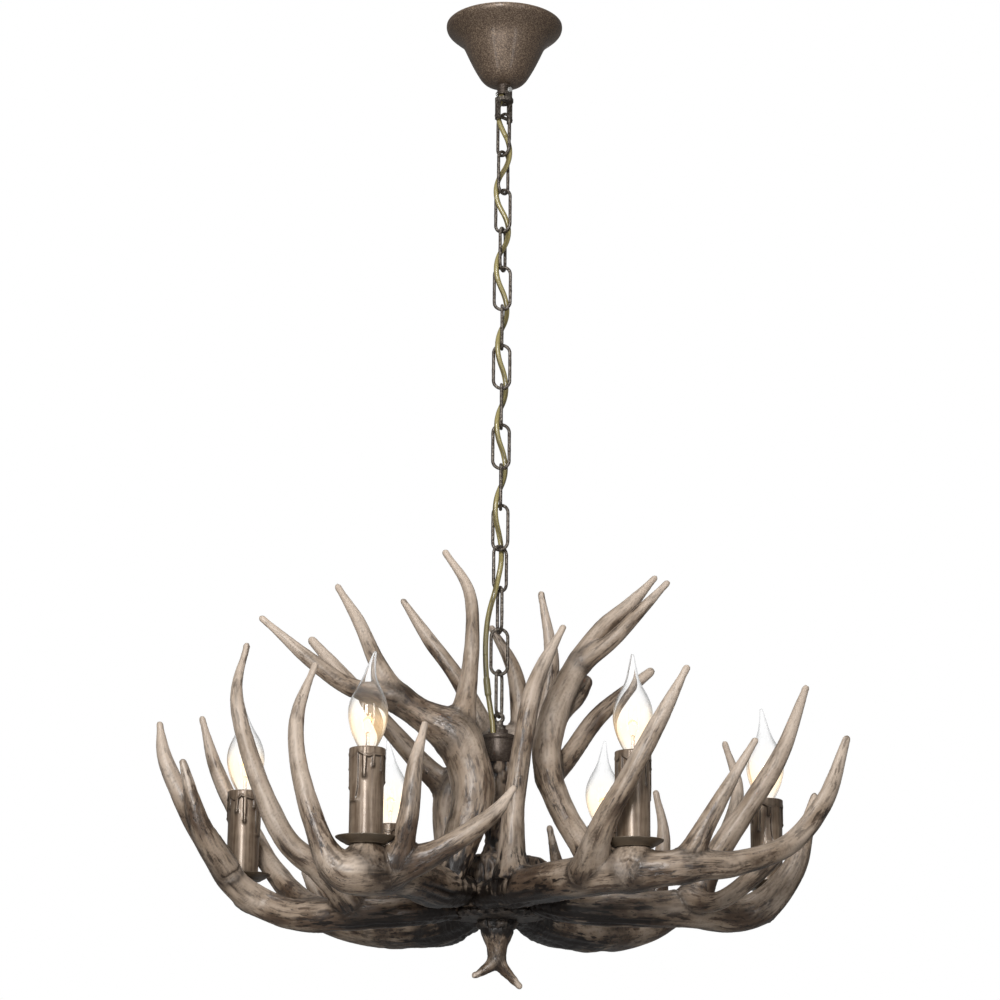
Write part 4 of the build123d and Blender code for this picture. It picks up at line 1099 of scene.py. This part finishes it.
UPPER_ANTLERS = (
    AntlerForm("upper_antler_front_left", (
        (-46, -76, -932, 13), (-35, -73, -892, 18), (-24, -72, -852, 21), (-30, -72, -815, 21.5), (-44, -74, -788, 22),
        (-77, -82, -770, 15.5), (-103, -88, -750, 13), (-122, -88, -716, 8.6), (-139, -82, -678, 6.6),
        (-161, -74, -641, 3),
    ), (
        ((-42, -73, -792, 20), (-33, -71, -753, 11), (-27, -65, -692, 7.6), (-31, -58, -640, 6), (-55, -50, -599, 3)),
        ((-98, -88, -756, 13), (-145, -100, -747, 9.5), (-184, -108, -722, 7.4), (-232, -112, -682, 3)),
    )),
    AntlerForm("upper_antler_right", (
        (98, -48, -936, 13), (84, -36, -893, 13), (66, -25, -860, 13), (52, -15, -823, 13.5), (49, -6, -787, 14.6),
        (59, 0, -744, 13.6), (77, 5, -707, 12.2), (103, 8, -667, 10.2), (133, 10, -638, 7.7), (159, 12, -609, 3),
    ), (
        ((82, 4, -701, 10), (112, -10, -681, 8.1), (140, -12, -652, 6.6), (170, -12, -620, 3)),
        ((56, 4, -756, 11), (76, 22, -733, 11), (88, 26, -716, 8)),
        ((49, -4, -822, 12), (67, 10, -801, 10.4), (103, 22, -750, 9.4), (155, 32, -703, 5)),
    )),
    AntlerForm("upper_antler_back", (
        (-42, 64, -948, 14), (-52, 62, -873, 13.3), (-50, 62, -832, 15.4), (-29, 62, -799, 18.5), (-2, 62, -777, 18.5),
        (24, 60, -766, 14.4), (44, 57, -744, 10.5), (54, 50, -688, 8), (43, 45, -619, 3),
    ), (
        ((-50, 63, -822, 15), (-89, 72, -783, 10.8), (-161, 88, -701, 8.4), (-197, 95, -660, 5)),
        ((-7, 63, -778, 15), (-39, 68, -711, 9.3), (-73, 72, -663, 7.3), (-101, 76, -621, 3.5)),
        ((26, 60, -768, 12.5), (16, 61, -699, 8.3), (-8, 62, -652, 3.5)),
    )),
)


# --------------------------------------------------------------------------- turned pieces


def turned_shell(name: str, outside: Array, wall: float, sides: int, centre: tuple[float, float] = (0.0, 0.0)) -> Piece:
    """A turned ring of even wall: its outline is the outside, then the outside moved by the wall and run back.

    Args:
        name: The piece's name.
        outside: Array (n, 2) of radius and height in metres.
        wall: Thickness to the right of the outside's run, or to its left where it is negative.
        sides: Points round it.
        centre: The axis in plan, in metres.

    Returns:
        The piece.
    """
    along = unit(np.gradient(outside, axis=0))
    inside = outside + wall * np.stack([along[:, 1], -along[:, 0]], axis=1)
    inside[:, 0] = np.maximum(inside[:, 0], 0.2 * MM)
    outline = np.vstack([outside, inside[::-1]])[:: 1 if wall > 0 else -1]
    return mesh_object(name, turned(outline, sides, centre), grid_faces(len(outline), sides, ring=True))


@dataclass(frozen=True)
class BarkTurning:
    """A turned piece on the fitting's axis with a skin of upright bark ridges.

    Its rows are radius and height along the outside, run downward. Each point goes in by the depth times ridged
    noise that is narrow round the axis and long along it, and that is crossed by short breaks.
    """

    name: str
    node: str
    rows: Rows
    steps: int
    sides: int
    depth: float
    seed: int
    finish: BarkFinish

    def build(self) -> None:
        """Make the piece, with flat ends."""
        profile = smooth_profile(self.rows, self.steps)[::-1]
        points = turned(profile, self.sides)
        spot = points / MM
        wander = lattice_noise(spot * 0.05, self.seed + 3)[..., None] * [3.0, 3.0, 0.0]
        ridge = 1 - np.abs(layered_noise((spot + wander) * [0.17, 0.17, 0.035], self.seed)) * 2.2
        breaks = layered_noise(spot * [0.16, 0.16, 0.24], self.seed + 9)
        height = np.clip(0.75 * ridge + 0.45 * breaks, -0.8, 1.0)
        row = np.arange(len(profile))
        level = np.clip(row * row[::-1] / (2.0 * len(row)), 0, 1)[:, None]
        reach = np.maximum(np.linalg.norm(points[..., :2], axis=-1), 1e-4)
        points[..., :2] *= (1 + self.depth * (height - 0.55) * level / reach)[..., None]
        piece = mesh_object(self.name, points, grid_faces(len(profile), self.sides))
        mark(piece, "ridge", ease(height.reshape(-1), -0.1, 0.9))
        own(piece, self.finish, Body.FIXTURE, self.node)


@dataclass
class HubAndStem:
    """Bark-skinned stem and hub drum, the ragged cover under the hub, and the metal cup that caps the stem."""

    stem: Rows = (
        (13.6, -804.0), (15.4, -812), (14.4, -826), (13.2, -842), (14.2, -862), (13.4, -880), (15, -892), (18, -899.8),
    )
    hub: Rows = (
        (12, -899.9), (38, -900), (45.5, -901.5), (49.5, -907), (49.4, -926), (50.3, -942), (48.5, -950), (44, -952.1),
    )
    cover: Rows = ((44, -952.3), (48.2, -954.4), (47, -957.5), (42, -960), (22, -961.4), (10, -961.6))
    cap: Rows = (  # run upward
        (11.4, -803.6), (13.6, -799.5), (15.0, -794.5), (15.3, -789), (14.9, -783), (15.2, -780.6),
        (16.1, -779.6), (16.0, -777.9), (15.0, -777.2), (5.6, -777.2),
    )
    cap_wall: float = 1.3 * MM

    def build(self) -> None:
        """Make the stem, the hub, the cover and the cap."""
        BarkTurning("stem_bark", "stem", self.stem, 10, 160, 2.6 * MM, 5, HUB_BARK).build()
        BarkTurning("hub_bark", "hub", self.hub, 10, 320, 3.4 * MM, 11, HUB_BARK).build()
        BarkTurning("hub_cover_bark", "hub_cover", self.cover, 8, 240, 4.5 * MM, 23, BURR).build()
        cap = turned_shell("cap_cup", smooth_profile(self.cap, 5), self.cap_wall, 72)
        own(cap, DARK_METAL, Body.FIXTURE, "cap")
        LOG.info("stem, hub, cover and cap")


@dataclass
class Finial:
    """Forked resin finial under the hub: a black rosette, and a neck, dark at its top, that splits into two prongs."""

    rosette: Rows = ((19.5, -961.9), (20.4, -964.5), (19.6, -967.5), (17.4, -970.0), (10.0, -971.5))
    prongs: tuple[Rows, ...] = (
        ((0, 0, -990, 6.5), (-2, 0, -1000, 6.2), (-9, -2, -1008, 5.4), (-17, -4, -1013, 4.0), (-21, -5, -1015.5, 2.6)),
        ((0, 0, -990, 6.5), (2, 0, -1001, 6.4), (9, 1, -1011, 5.6), (17, 2, -1020, 4.4), (22, 3, -1025, 2.8)),
    )
    neck: Rows = ((0, 0, -966, 16.6), (0, 0, -973, 16.4), (0, 0, -980, 13.6), (0, 0, -988, 10.2), (0, 0, -997, 7.4))
    seed: int = 31
    voxel: float = 0.8 * MM

    def build(self) -> None:
        """Make the fork and the rosette."""
        limbs = [Limb.through(knots, 1.2 * MM) for knots in (self.neck, *self.prongs)]
        piece = grown_together("finial_fork", limbs, 24, self.voxel)
        form = AntlerForm("finial", self.neck)
        Antler(form, self.seed, True, web=2.5 * MM, furrow=0.5 * MM, bark_depth=0.9 * MM).carve(piece, limbs)
        spots = read_rows(piece.data.vertices, "co") / MM
        wander = 6 * layered_noise(spots * [0.3, 0.3, 0.12], 77)
        mark(piece, "bark", 0.9 * (1 - ease(-spots[:, 2] + wander, 968.0, 986.0)))
        own(piece, ANTLER, Body.FIXTURE, "finial")
        BarkTurning("finial_rosette", "finial", self.rosette, 8, 144, 3.2 * MM, 77, BURR).build()
        LOG.info("finial")


@dataclass
class Canopy:
    """Flared ceiling canopy: a thin spun shell with a rolled rim."""

    outside: Rows = (
        (5.4, -67.9), (12, -67.3), (18.4, -65.2), (23.0, -61.2), (27.0, -55.0), (32.4, -45.0), (37.6, -34.0),
        (42.6, -23.0), (47.4, -16.4), (55.0, -9.6), (59.6, -5.4), (61, -2.6), (61, -0.2),
    )
    wall: float = 1.4 * MM

    def build(self) -> None:
        """Make the canopy."""
        piece = turned_shell("canopy_shell", smooth_profile(self.outside, 6), self.wall, 144)
        own(piece, CANOPY_PAINT, Body.CEILING, "canopy")
        LOG.info("canopy")


# --------------------------------------------------------------------------- chain and cord


@dataclass
class Chain:
    """Fifteen welded links of hammered wire, each turned from the one above."""

    length: float = 50.65 * MM
    width: float = 20.5 * MM
    wire: float = 1.75 * MM
    gap: float = 0.25 * MM
    first_top: float = -100.4 * MM
    turns: tuple[float, ...] = (-45, 54, 153, 252, 351, 450, 540, 630, 720, 810, 875, 940, 1005, 1085, 1150)
    sides: int = 16
    arc_points: int = 17
    side_points: int = 12

    def top(self, number: int) -> float:
        """Height of a link's outside top, counted from 1."""
        return self.first_top - (number - 1) * (self.length - 4 * self.wire - self.gap)

    def bottom_wire(self, number: int) -> float:
        """Height of the middle of the wire at a link's lower end."""
        return self.top(number) - self.length + self.wire

    def link(self, number: int) -> Solid:
        """A link: a round wire along two half circles joined by straight sides.

        The wire's radius varies by a few percent along and round it, as hammered wire does, and swells at the
        weld, 4 mm under the middle of one side.

        Args:
            number: The link, counted from 1 at the top.

        Returns:
            Its points and faces.
        """
        bend = self.width / 2 - self.wire
        reach = self.length / 2 - self.wire - bend
        arc, side = np.linspace(0.0, np.pi, self.arc_points), np.full(self.side_points, bend)
        straight = np.linspace(reach, -reach, self.side_points + 2)[1:-1]
        across = np.concatenate([np.cos(arc) * bend, -side, np.cos(arc + np.pi) * bend, side])
        lower = np.sin(arc + np.pi) * bend - reach
        height = np.concatenate([np.sin(arc) * bend + reach, straight, lower, straight[::-1]])
        turn = math.radians(self.turns[number - 1])
        level, over = np.array([[math.cos(turn), math.sin(turn), 0.0], [math.sin(turn), -math.cos(turn), 0.0]])
        path = level * across[:, None] + np.array([0.0, 0.0, 1.0]) * height[:, None]
        out = np.cross(unit(np.roll(path, -1, axis=0) - np.roll(path, 1, axis=0)), over)
        spot = ring_points(path, out, over, self.wire, self.sides) / MM
        dents = layered_noise(spot * 0.32 + number * 11, 60 + number, 2)
        weld = np.exp(-(((height + 4 * MM) / (1.6 * MM)) ** 2)) * (across > 0) * 0.09
        points = ring_points(path, out, over, self.wire * (0.99 + 0.07 * dents + weld[:, None]), self.sides)
        points[..., 2] += self.top(number) - self.length / 2
        return points, grid_faces(len(path), self.sides, ring=True)

    def build(self) -> None:
        """Make the links as three pieces, one for each group of nodes: two ride on the chain, the last on its own body.
        """
        groups = (
            ("chain_upper_wire", range(1, 8), Body.CHAIN, "chain_links_upper"),
            ("chain_lower_wire", range(8, 15), Body.CHAIN, "chain_links_lower"),
            ("chain_last_wire", range(15, 16), Body.LAST_LINK, "chain_link_last"),
        )
        for name, numbers, body, node in groups:
            own(joined(name, map(self.link, numbers)), CHAIN_METAL, body, node)
        LOG.info("chain of %d links", len(self.turns))


@dataclass(frozen=True)
class CordSpan:
    """A stretch of the cord down to a height. One with no second body rides on its first; one with a second is left in
    place, and the bend's two heights are not used.
    """

    name: str
    end: float
    body: Body
    onward: Body | None = None
    bend: tuple[float, float] = (0.0, 0.0)

    def hang(self, piece: Piece, finish: Finish, node: str) -> None:
        """Give a piece its finish and let it stand for a node; where the span has no second body, the piece rides on
        its body.

        Args:
            piece: The span, or what sits on it.
            finish: Its material.
            node: The CAD node it replaces.
        """
        if self.onward is None:
            own(piece, finish, self.body, node)
            return
        piece.data.materials.append(finish.build())
        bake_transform(piece)
        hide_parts(node)


@dataclass
class SupplyCord:
    """Clear golden cord from the canopy's nipple through the links to the cap, with a shrink sleeve on it.

    The start and the tail are points of its route, and each row of the weave is a direction in degrees and a
    reach from the axis beside the meeting of two links, in millimetres.
    """

    chain: Chain
    radius: float = 2.75 * MM
    start: Rows = ((0, 0, -24), (0, 0, -79), (-10, 0, -103))
    weave: Rows = (
        (4.5, 13.0), (193.5, 14.5), (22.5, 13.5), (211.5, 14.5), (40.5, 13.5), (225, 13.0),
        (45, 13.0), (225, 13.0), (45, 13.0), (228, 13.5), (76, 14.5), (258, 15.0),
    )
    tail: Rows = (
        (-11.6, -7.0, -652), (-14.2, -3.4, -677), (-14.0, -3.4, -701), (-12.2, -4.6, -727),
        (-8.6, -6.4, -750), (-5.2, -7.4, -772), (-5.2, -7.2, -795),
    )
    spans: tuple[CordSpan, ...] = (
        CordSpan("supply_cord_top", -91 * MM, Body.CEILING, Body.HOOK, (-73 * MM, -90 * MM)),
        CordSpan("supply_cord_hook", -127 * MM, Body.HOOK, Body.CHAIN, (-95 * MM, -118 * MM)),
        CordSpan("supply_cord_woven", -694 * MM, Body.CHAIN),
        CordSpan("supply_cord_last", -732 * MM, Body.CHAIN, Body.LAST_LINK, (-702 * MM, -726 * MM)),
        CordSpan("supply_cord_end", -800 * MM, Body.LAST_LINK, Body.FIXTURE, (-742 * MM, -771 * MM)),
    )
    sides: int = 24
    core_twist: float = 75.0  # radians in a metre
    shrink_radius: float = 3.5 * MM
    shrink_heights: tuple[float, float] = (-716 * MM, -738 * MM)

    def route(self) -> Array:
        """The route's points: straight down, one beside each meeting of two links, then down beside the last ones.

        Returns:
            Array (n, 3) in metres.
        """
        woven = [
            (reach * math.cos(math.radians(turn)), reach * math.sin(math.radians(turn)),
             (self.chain.bottom_wire(number) + self.chain.wire) / MM)
            for number, (turn, reach) in enumerate(self.weave, 1)
        ]
        return np.array([*self.start, *woven, *self.tail]) * MM

    def line(self) -> Array:
        """Close points along the quadratic NURBS curve that the route controls.

        Returns:
            Array (n, 3) in metres.
        """
        route = self.route()
        curve = bpy.data.curves.new("cord_line", "CURVE")
        curve.dimensions = "3D"
        spline = curve.splines.new("NURBS")
        spline.points.add(len(route) - 1)
        spline.points.foreach_set("co", np.column_stack([route, np.ones(len(route))]).ravel())
        spline.order_u, spline.use_endpoint_u, spline.resolution_u = 3, True, 12
        holder = bpy.data.objects.new("cord_line", curve)
        mesh = bpy.data.meshes.new_from_object(holder)
        path = read_rows(mesh.vertices, "co")
        bpy.data.meshes.remove(mesh)
        bpy.data.objects.remove(holder)
        bpy.data.curves.remove(curve)
        return path

    def build(self) -> None:
        """Make one tube along the line, cut into spans at the joints, and the shrink sleeve."""
        path = self.line()
        along = run_length(path)
        rings = tube_rings(path, self.radius, self.sides, (1.0, 0.0, 0.0))
        core = np.sin(2 * angles(self.sides) + along[:, None] * self.core_twist)
        start = 0
        for span in self.spans:
            end = min(int(np.searchsorted(-path[:, 2], -span.end)), len(path) - 1)
            stretch = slice(start, end + 1)
            piece = mesh_object(span.name, rings[stretch], grid_faces(end + 1 - start, self.sides))
            mark(piece, "core", core[stretch].reshape(-1))
            with_pieces = [self.shrink_sleeve(path, span)] if span.onward is Body.LAST_LINK else []
            span.hang(piece, CordFinish(), "supply_cord")
            start = end
        LOG.info("supply cord %.3f m", along[-1])

    def shrink_sleeve(self, path: Array, span: CordSpan) -> Piece:
        """A thin tube round the cord between two heights, with softly rounded ends.

        Args:
            path: The cord's line, (n, 3).
            span: The span it sits on.

        Returns:
            The new piece.
        """
        high, low = self.shrink_heights
        path = path[(path[:, 2] < high) & (path[:, 2] > low)]
        share, sides = np.linspace(0.0, 1.0, 24), 32
        path = resampled(share, np.linspace(0.0, 1.0, len(path)), path)
        swell = 1 - np.maximum(np.abs(share - 0.5) * 2 - 0.8, 0) * 0.9
        rings = tube_rings(path, self.shrink_radius * swell, sides, (1.0, 0.0, 0.0))
        piece = mesh_object("shrink_tube", rings, grid_faces(len(path), sides))
        span.hang(piece, SLEEVING, "shrink_sleeve")
        return piece


# --------------------------------------------------------------------------- lamps


@dataclass
class CandleLamp:
    """Pan, sleeve with runs of wax, holder and clear candle bulb on one antler's seat.

    The bulb's rows count their height from the glass's lower end, which lies the drop under the sleeve's top.
    """

    number: int
    spot: LampSpot
    pan: Rows = ((5.2, 0.0), (17.5, 0.0), (19.4, 0.7), (23.5, 2.8), (26.6, 4.9), (28.1, 6.1), (28.2, 7.0))
    bulb: Rows = (
        (6.3, 0), (7.2, 4), (11.0, 11), (15.2, 20.5), (18.0, 31), (18.8, 40), (17.6, 49), (14.0, 58.5), (9.4, 67),
        (6.2, 75), (4.4, 83), (3.0, 90), (2.0, 95.5), (1.2, 98.0), (0.25, 98.6),
    )
    base: Rows = ((6.5, -20.8), (6.8, -20), (6.8, -1.2), (6.4, -0.3), (5.6, -0.1))
    post: Rows = ((3.6, 1.2), (2.6, 5), (1.7, 11), (1.5, 17), (1.9, 20), (0.6, 21.4))
    glass: float = 0.7 * MM
    drop: float = 6.0
    flame_start: float = 56.0
    runs: Rows = (  # direction in degrees, depth of the end under the top and half width, in millimetres
        (8, 24, 2.1), (38, 34, 1.7), (74, 19, 1.9), (100, 46, 5.6), (148, 28, 1.6), (176, 38, 1.9), (214, 22, 2.2),
        (238, 40, 1.7), (262, 52, 6.0), (304, 30, 1.9), (334, 20, 1.8),
    )

    @property
    def centre(self) -> tuple[float, float]:
        """The lamp's axis in plan, in metres."""
        return self.spot.x * MM, self.spot.y * MM

    def build(self) -> None:
        """Make the pan, the sleeve, the bulb and what stands in it."""
        self.drip_pan()
        self.candle_sleeve()
        self.candle_bulb()
        self.filament()
        LOG.info("lamp %d", self.number)

    def drip_pan(self) -> None:
        """A shallow flared pan: a bent sheet with an even wall."""
        node = f"drip_pan_{self.number}"
        outside = smooth_profile(self.pan, 5)
        outside[:, 1] += (self.spot.seat + SEAT_GAP) * MM
        piece = turned_shell(f"{node}_sheet", outside, -PAN_WALL * MM, 96, self.centre)
        own(piece, PAN_PAINT, Body.FIXTURE, node)

    def candle_sleeve(self) -> None:
        """A tube whose outside carries a scalloped skirt of wax with thin runs that end in drops.

        The wax stands out by a rounded step where a point is above the skirt's edge, or inside a run's width
        and above its end. A run's end carries a drop: a bump that falls off with distance squared.
        """
        node, wax_step, sunk = f"candle_sleeve_{self.number}", 1.75, 0.4
        sides, rows = ((216, 170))
        low, high = (self.spot.top - SLEEVE_LENGTH) * MM, self.spot.top * MM
        height = np.concatenate([np.linspace(low, high - 1.4 * MM, rows), high - np.array([0.9, 0.4, 0.0]) * MM])
        wax = self.wax_height(angles(sides), (high - height) / MM)
        lip = np.concatenate([np.ones(rows), [0.9, 0.5, -0.4]])
        reach = (SLEEVE_R - sunk + wax_step * wax * lip[:, None]) * MM
        radius = np.vstack([reach, np.full((2, sides), (SLEEVE_R - SLEEVE_WALL) * MM)])
        heights = np.concatenate([height, [high - 0.3 * MM, low]])
        x, y = (middle + radius * way(angles(sides)) for middle, way in zip(self.centre, (np.cos, np.sin)))
        points = np.stack([x, y, np.broadcast_to(heights[:, None], radius.shape)], axis=-1)
        piece = mesh_object(f"{node}_tube", points, grid_faces(len(radius), sides, ring=True))
        edge = np.abs(np.gradient(wax, axis=0)) + np.abs(np.gradient(wax, axis=1))
        # crease marks the steep edge of the wax for painted shade.
        mark(piece, "crease", np.vstack([np.clip(3.6 * edge, 0, 1), np.zeros((2, sides))]).reshape(-1))
        own(piece, SleeveFinish(), Body.FIXTURE, node)

    def wax_height(self, angle: Array, down: Array) -> Array:
        """How far the wax stands out, from 0 to about 1, at angles round the sleeve and depths under its top.

        Args:
            angle: Array (sides,) in radians.
            down: Array (rows,) in millimetres under the sleeve's top.

        Returns:
            Array (rows, sides).
        """
        turn = 0.9 * self.number
        around = np.degrees(angle) + 40 * self.number
        scallops = 7 + 3.2 * np.abs(np.sin(3.5 * angle + turn)) ** 0.7 + 1.2 * np.sin(5 * angle + 2 * turn)
        depth = down[:, None]
        wax = ease(scallops - depth, -0.7, 0.7) * (0.62 + 0.3 * np.exp(-(((scallops - depth - 1.4) / 1.3) ** 2)))
        for place, end, width in self.runs:
            across = ((around - place + 180) % 360 - 180) * math.pi / 180 * SLEEVE_R
            narrow = width * (0.62 + 0.38 * ease(depth, end, end - 16))
            run = ease(narrow - np.abs(across), -0.5, 0.7) * ease(end - depth, -0.6, 0.9) * 0.75
            drop = np.exp(-((across / (0.95 * width)) ** 2) - ((depth - end + 2.2) / 2.4) ** 2)
            wax = np.maximum(wax, np.maximum(run, drop))
        return wax

    def at_lamp(self, points: Array) -> Array:
        """Put the bulb's points on the lamp, moved sideways by its lean times their height in the flame squared.

        Args:
            points: Array (..., 3), with the height counted from the glass's lower end.

        Returns:
            Array (..., 3) in the frame.
        """
        start, tip = self.flame_start * MM, self.bulb[-1][1] * MM
        share = np.clip((points[..., 2:] - start) / (tip - start), 0.0, None) ** 2
        turn, lean = math.radians(self.spot.flame_turn), self.spot.flame_lean * MM
        side = np.array([lean * math.cos(turn), lean * math.sin(turn), 0.0])
        return points + share * side + np.array([*self.centre, (self.spot.top - self.drop) * MM])

    def bulb_part(self, part: str, finish: Finish, *solids: Solid) -> Piece:
        """One piece of the bulb, from closed surfaces with their height above the glass's lower end.

        Args:
            part: What the piece is.
            finish: Its material.
            solids: Points and faces of each surface.

        Returns:
            The new piece.
        """
        node = f"bulb_{self.number}"
        piece = joined(f"{node}_{part}", [(self.at_lamp(points), faces) for points, faces in solids])
        own(piece, finish, node, node)
        return piece

    def candle_bulb(self) -> None:
        """Clear glass with an inner wall, a brass base and a glass post."""
        outside, sides = smooth_profile(self.bulb, 5), 64
        inside = outside[1:] - np.array([self.glass, 0.0])
        inside[:, 0] = np.maximum(inside[:, 0], 0.15 * MM)
        inside[-1, 1] -= self.glass
        cavity = [face[::-1] for face in grid_faces(len(inside), sides)]
        shell = turned(outside, sides), grid_faces(len(outside), sides)
        glass = self.bulb_part("glass", GLASS, shell, (turned(inside, sides), cavity))
        rise = np.repeat(np.concatenate([outside[:, 1], inside[:, 1]]), sides) / MM
        mark(glass, "glow", np.exp(-(((rise - 27) / 15) ** 2)))
        base, post = np.array(self.base) * MM, smooth_profile(self.post, 4)
        self.bulb_part("base", BRASS, (turned(base, 48), grid_faces(len(base), 48)))
        self.bulb_part("stem", GLASS, (turned(post, 24), grid_faces(len(post), 24)))

    def filament(self) -> None:
        """Two bent wires and a lit coil hung between them: a fine helix along a low arch."""
        sides, coils, coil_r, wire_r = 8, 16, 0.8, 0.22 * MM
        t = np.linspace(0.0, 1.0, 40)
        wires = [np.stack([side * (1.1 + 3.4 * t**1.5), 0 * t, 12 + 20 * t], axis=1) * MM for side in (-1, 1)]
        faces = grid_faces(len(t), sides)
        self.bulb_part("wires", STEEL, *((tube_rings(path, wire_r, sides, (0.0, 1.0, 0.0)), faces) for path in wires))
        t = np.linspace(0.0, 1.0, 220)
        arch = np.stack([-4.5 + 9 * t, 0 * t, 32 + 3.2 * np.sin(np.pi * t)], axis=1)
        swing = 2 * np.pi * coils * t
        coil = (arch + coil_r * np.stack([0 * t, np.cos(swing), np.sin(swing)], axis=1)) * MM
        rings = tube_rings(coil, 0.26 * MM, sides, (0.2, 0.3, 1.0))
        self.bulb_part("filament", GlowFinish(), (rings, grid_faces(len(coil), sides)))


# --------------------------------------------------------------------------- studio


@dataclass(frozen=True)
class SoftLight:
    """A soft light, as wide and as tall as given, that looks at a point. A matte one isn't seen in metal or glass."""

    name: str
    place: Colour
    aim: Colour
    width: float
    height: float
    power: float
    matte: bool = False

    def build(self) -> None:
        """Make the light."""
        lamp = bpy.data.lights.new(self.name, "AREA")
        lamp.shape, lamp.size, lamp.size_y, lamp.energy = "RECTANGLE", self.width, self.height, self.power
        holder = bpy.data.objects.new(self.name, lamp)
        holder.location = self.place
        holder.visible_glossy = holder.visible_transmission = not self.matte
        holder.rotation_euler = (Vector(self.aim) - Vector(self.place)).to_track_quat("-Z", "Y").to_euler()
        bpy.context.scene.collection.objects.link(holder)


@dataclass
class Studio:
    """The camera at the photograph's place, soft lights, a pale floor and a white background."""

    camera_place: Colour = (-0.0006, -2.690, -1.251)
    pitch: float = 15.0
    roll: float = 0.47
    lens: float = 97.2
    sensor: float = 36.0
    floor_z: float = -1.75
    floor_reach: float = 4.0
    ambient: float = 0.035
    mirrored: float = 0.15
    lights: tuple[SoftLight, ...] = (
        SoftLight("front", (-0.55, -3.1, -0.15), (0.0, 0.0, -0.75), 0.7, 1.3, 70),
        SoftLight("left", (-1.2, -1.9, -0.7), (0.0, 0.0, -0.6), 0.35, 2.0, 9),
        SoftLight("right", (1.2, -1.9, -0.7), (0.0, 0.0, -0.6), 0.35, 2.0, 9),
        SoftLight("top", (-0.1, -0.3, 0.9), (0.0, 0.0, -0.8), 0.7, 0.7, 9),
        SoftLight("back", (0.7, 2.7, 0.1), (0.0, 0.0, -0.75), 0.9, 1.2, 45, matte=True),
    )

    def build(self) -> None:
        """Make the camera, the world, the floor and the lights."""
        self.camera()
        self.background()
        self.floor()
        for light in self.lights:
            light.build()
        bpy.context.scene.view_settings.view_transform = "Standard"
        LOG.info("studio with %d lights", len(self.lights))

    def camera(self) -> None:
        """A pinhole camera that looks up by the pitch and is turned about its own axis by the roll."""
        lens = bpy.data.cameras.new("camera")
        lens.sensor_width, lens.lens, lens.clip_end = self.sensor, self.lens, 50.0
        camera = bpy.data.objects.new("camera", lens)
        pitch, roll = math.radians(self.pitch), math.radians(self.roll)
        forward = Vector((0, math.cos(pitch), math.sin(pitch)))
        level, up = Vector((1, 0, 0)), Vector((0, -math.sin(pitch), math.cos(pitch)))
        right = level * math.cos(roll) + up * math.sin(roll)
        above = up * math.cos(roll) - level * math.sin(roll)
        turn = Matrix((right, above, -forward)).transposed()
        camera.matrix_world = Matrix.Translation(self.camera_place) @ turn.to_4x4()
        bpy.context.scene.collection.objects.link(camera)
        bpy.context.scene.camera = camera

    def background(self) -> None:
        """A world that looks white, and lights the object at a lower level."""
        world = bpy.data.worlds.new("studio")
        world.use_nodes = True
        wire = Wiring(world.node_tree)
        rays = wire.add("LightPath").outputs
        seen = wire.maths("MAXIMUM", rays["Is Camera Ray"], rays["Is Transmission Ray"])
        strength = wire.plus(self.ambient, wire.times(seen, 1.0 - self.ambient))
        strength = wire.plus(strength, wire.times(rays["Is Glossy Ray"], self.mirrored))
        wire.feed(world.node_tree.nodes["Background"], {"Strength": strength, "Color": (1, 1, 1)})
        bpy.context.scene.world = world

    def floor(self) -> None:
        """A wide pale floor under the fitting."""
        count = 9
        t = np.linspace(-self.floor_reach, self.floor_reach, count)
        x, y = np.meshgrid(t, t)
        r, c = np.meshgrid(np.arange(count - 1), np.arange(count - 1), indexing="ij")
        corner = (r * count + c).reshape(-1, 1)
        points = np.stack([x, y, np.full_like(x, self.floor_z)], axis=-1)
        piece = mesh_object("floor", points, (corner + [0, 1, count + 1, count]).tolist())
        piece.data.materials.append(FloorFinish().build())


# --------------------------------------------------------------------------- kept pieces


class KeptNodes:
    """Nodes whose shape is right: they get a finish, and a fine bevel where their edges show."""

    bevel_width = 0.35 * MM
    bevel_turn = math.radians(30)
    bevelled = {
        "neck_collar": DARK_METAL, "yoke": CHAIN_METAL, "yoke_bar": CHAIN_METAL, "top_loop": CHAIN_METAL,
        "loop_collar": DARK_METAL, "yoke_pins": STEEL, "grip_screw": DARK_METAL,
    }
    hidden = {
        "ceiling_bracket": STEEL, "ceiling_nipple": STEEL, "nipple_nuts": STEEL, "centre_rod": STEEL, "hub_nut": STEEL,
        "antler_bolts": STEEL, "lamp_nipples": STEEL, "terminal_block": WHITE_PLASTIC, "wire_connector": WHITE_PLASTIC,
        **{f"lamp_holder_{number}": HOLDER_PLASTIC for number in range(1, 7)},
    }

    def build(self, nodes: dict[str, Piece]) -> None:
        """Dress the nodes.

        Args:
            nodes: The frame's nodes by name.
        """
        finishes = self.bevelled | self.hidden
        for name, finish in finishes.items():
            for slot in nodes[name].material_slots:
                slot.material = finish.build()
            if name in self.bevelled and nodes[name].material_slots:
                edge = nodes[name].modifiers.new("edge", "BEVEL")
                edge.width, edge.segments = self.bevel_width, 2
                edge.limit_method, edge.angle_limit = "ANGLE", self.bevel_turn
        LOG.info("kept nodes: %d", len(finishes))


def main() -> None:
    """Build the chandelier and its studio in order."""
    logging.basicConfig(level=logging.INFO, format="%(message)s")
    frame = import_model()
    Studio().build()
    chain = Chain()
    SupplyCord(chain).build()
    chain.build()
    Canopy().build()
    HubAndStem().build()
    Finial().build()
    for seed, form in enumerate((*LOWER_ANTLERS, *UPPER_ANTLERS)):
        Antler(form, seed, upper=form in UPPER_ANTLERS).build()
    for number, form in enumerate(LOWER_ANTLERS, 1):
        CandleLamp(number, form.lamp).build()
    KeptNodes().build(frame["nodes"])


if __name__ == "__main__":
    main()
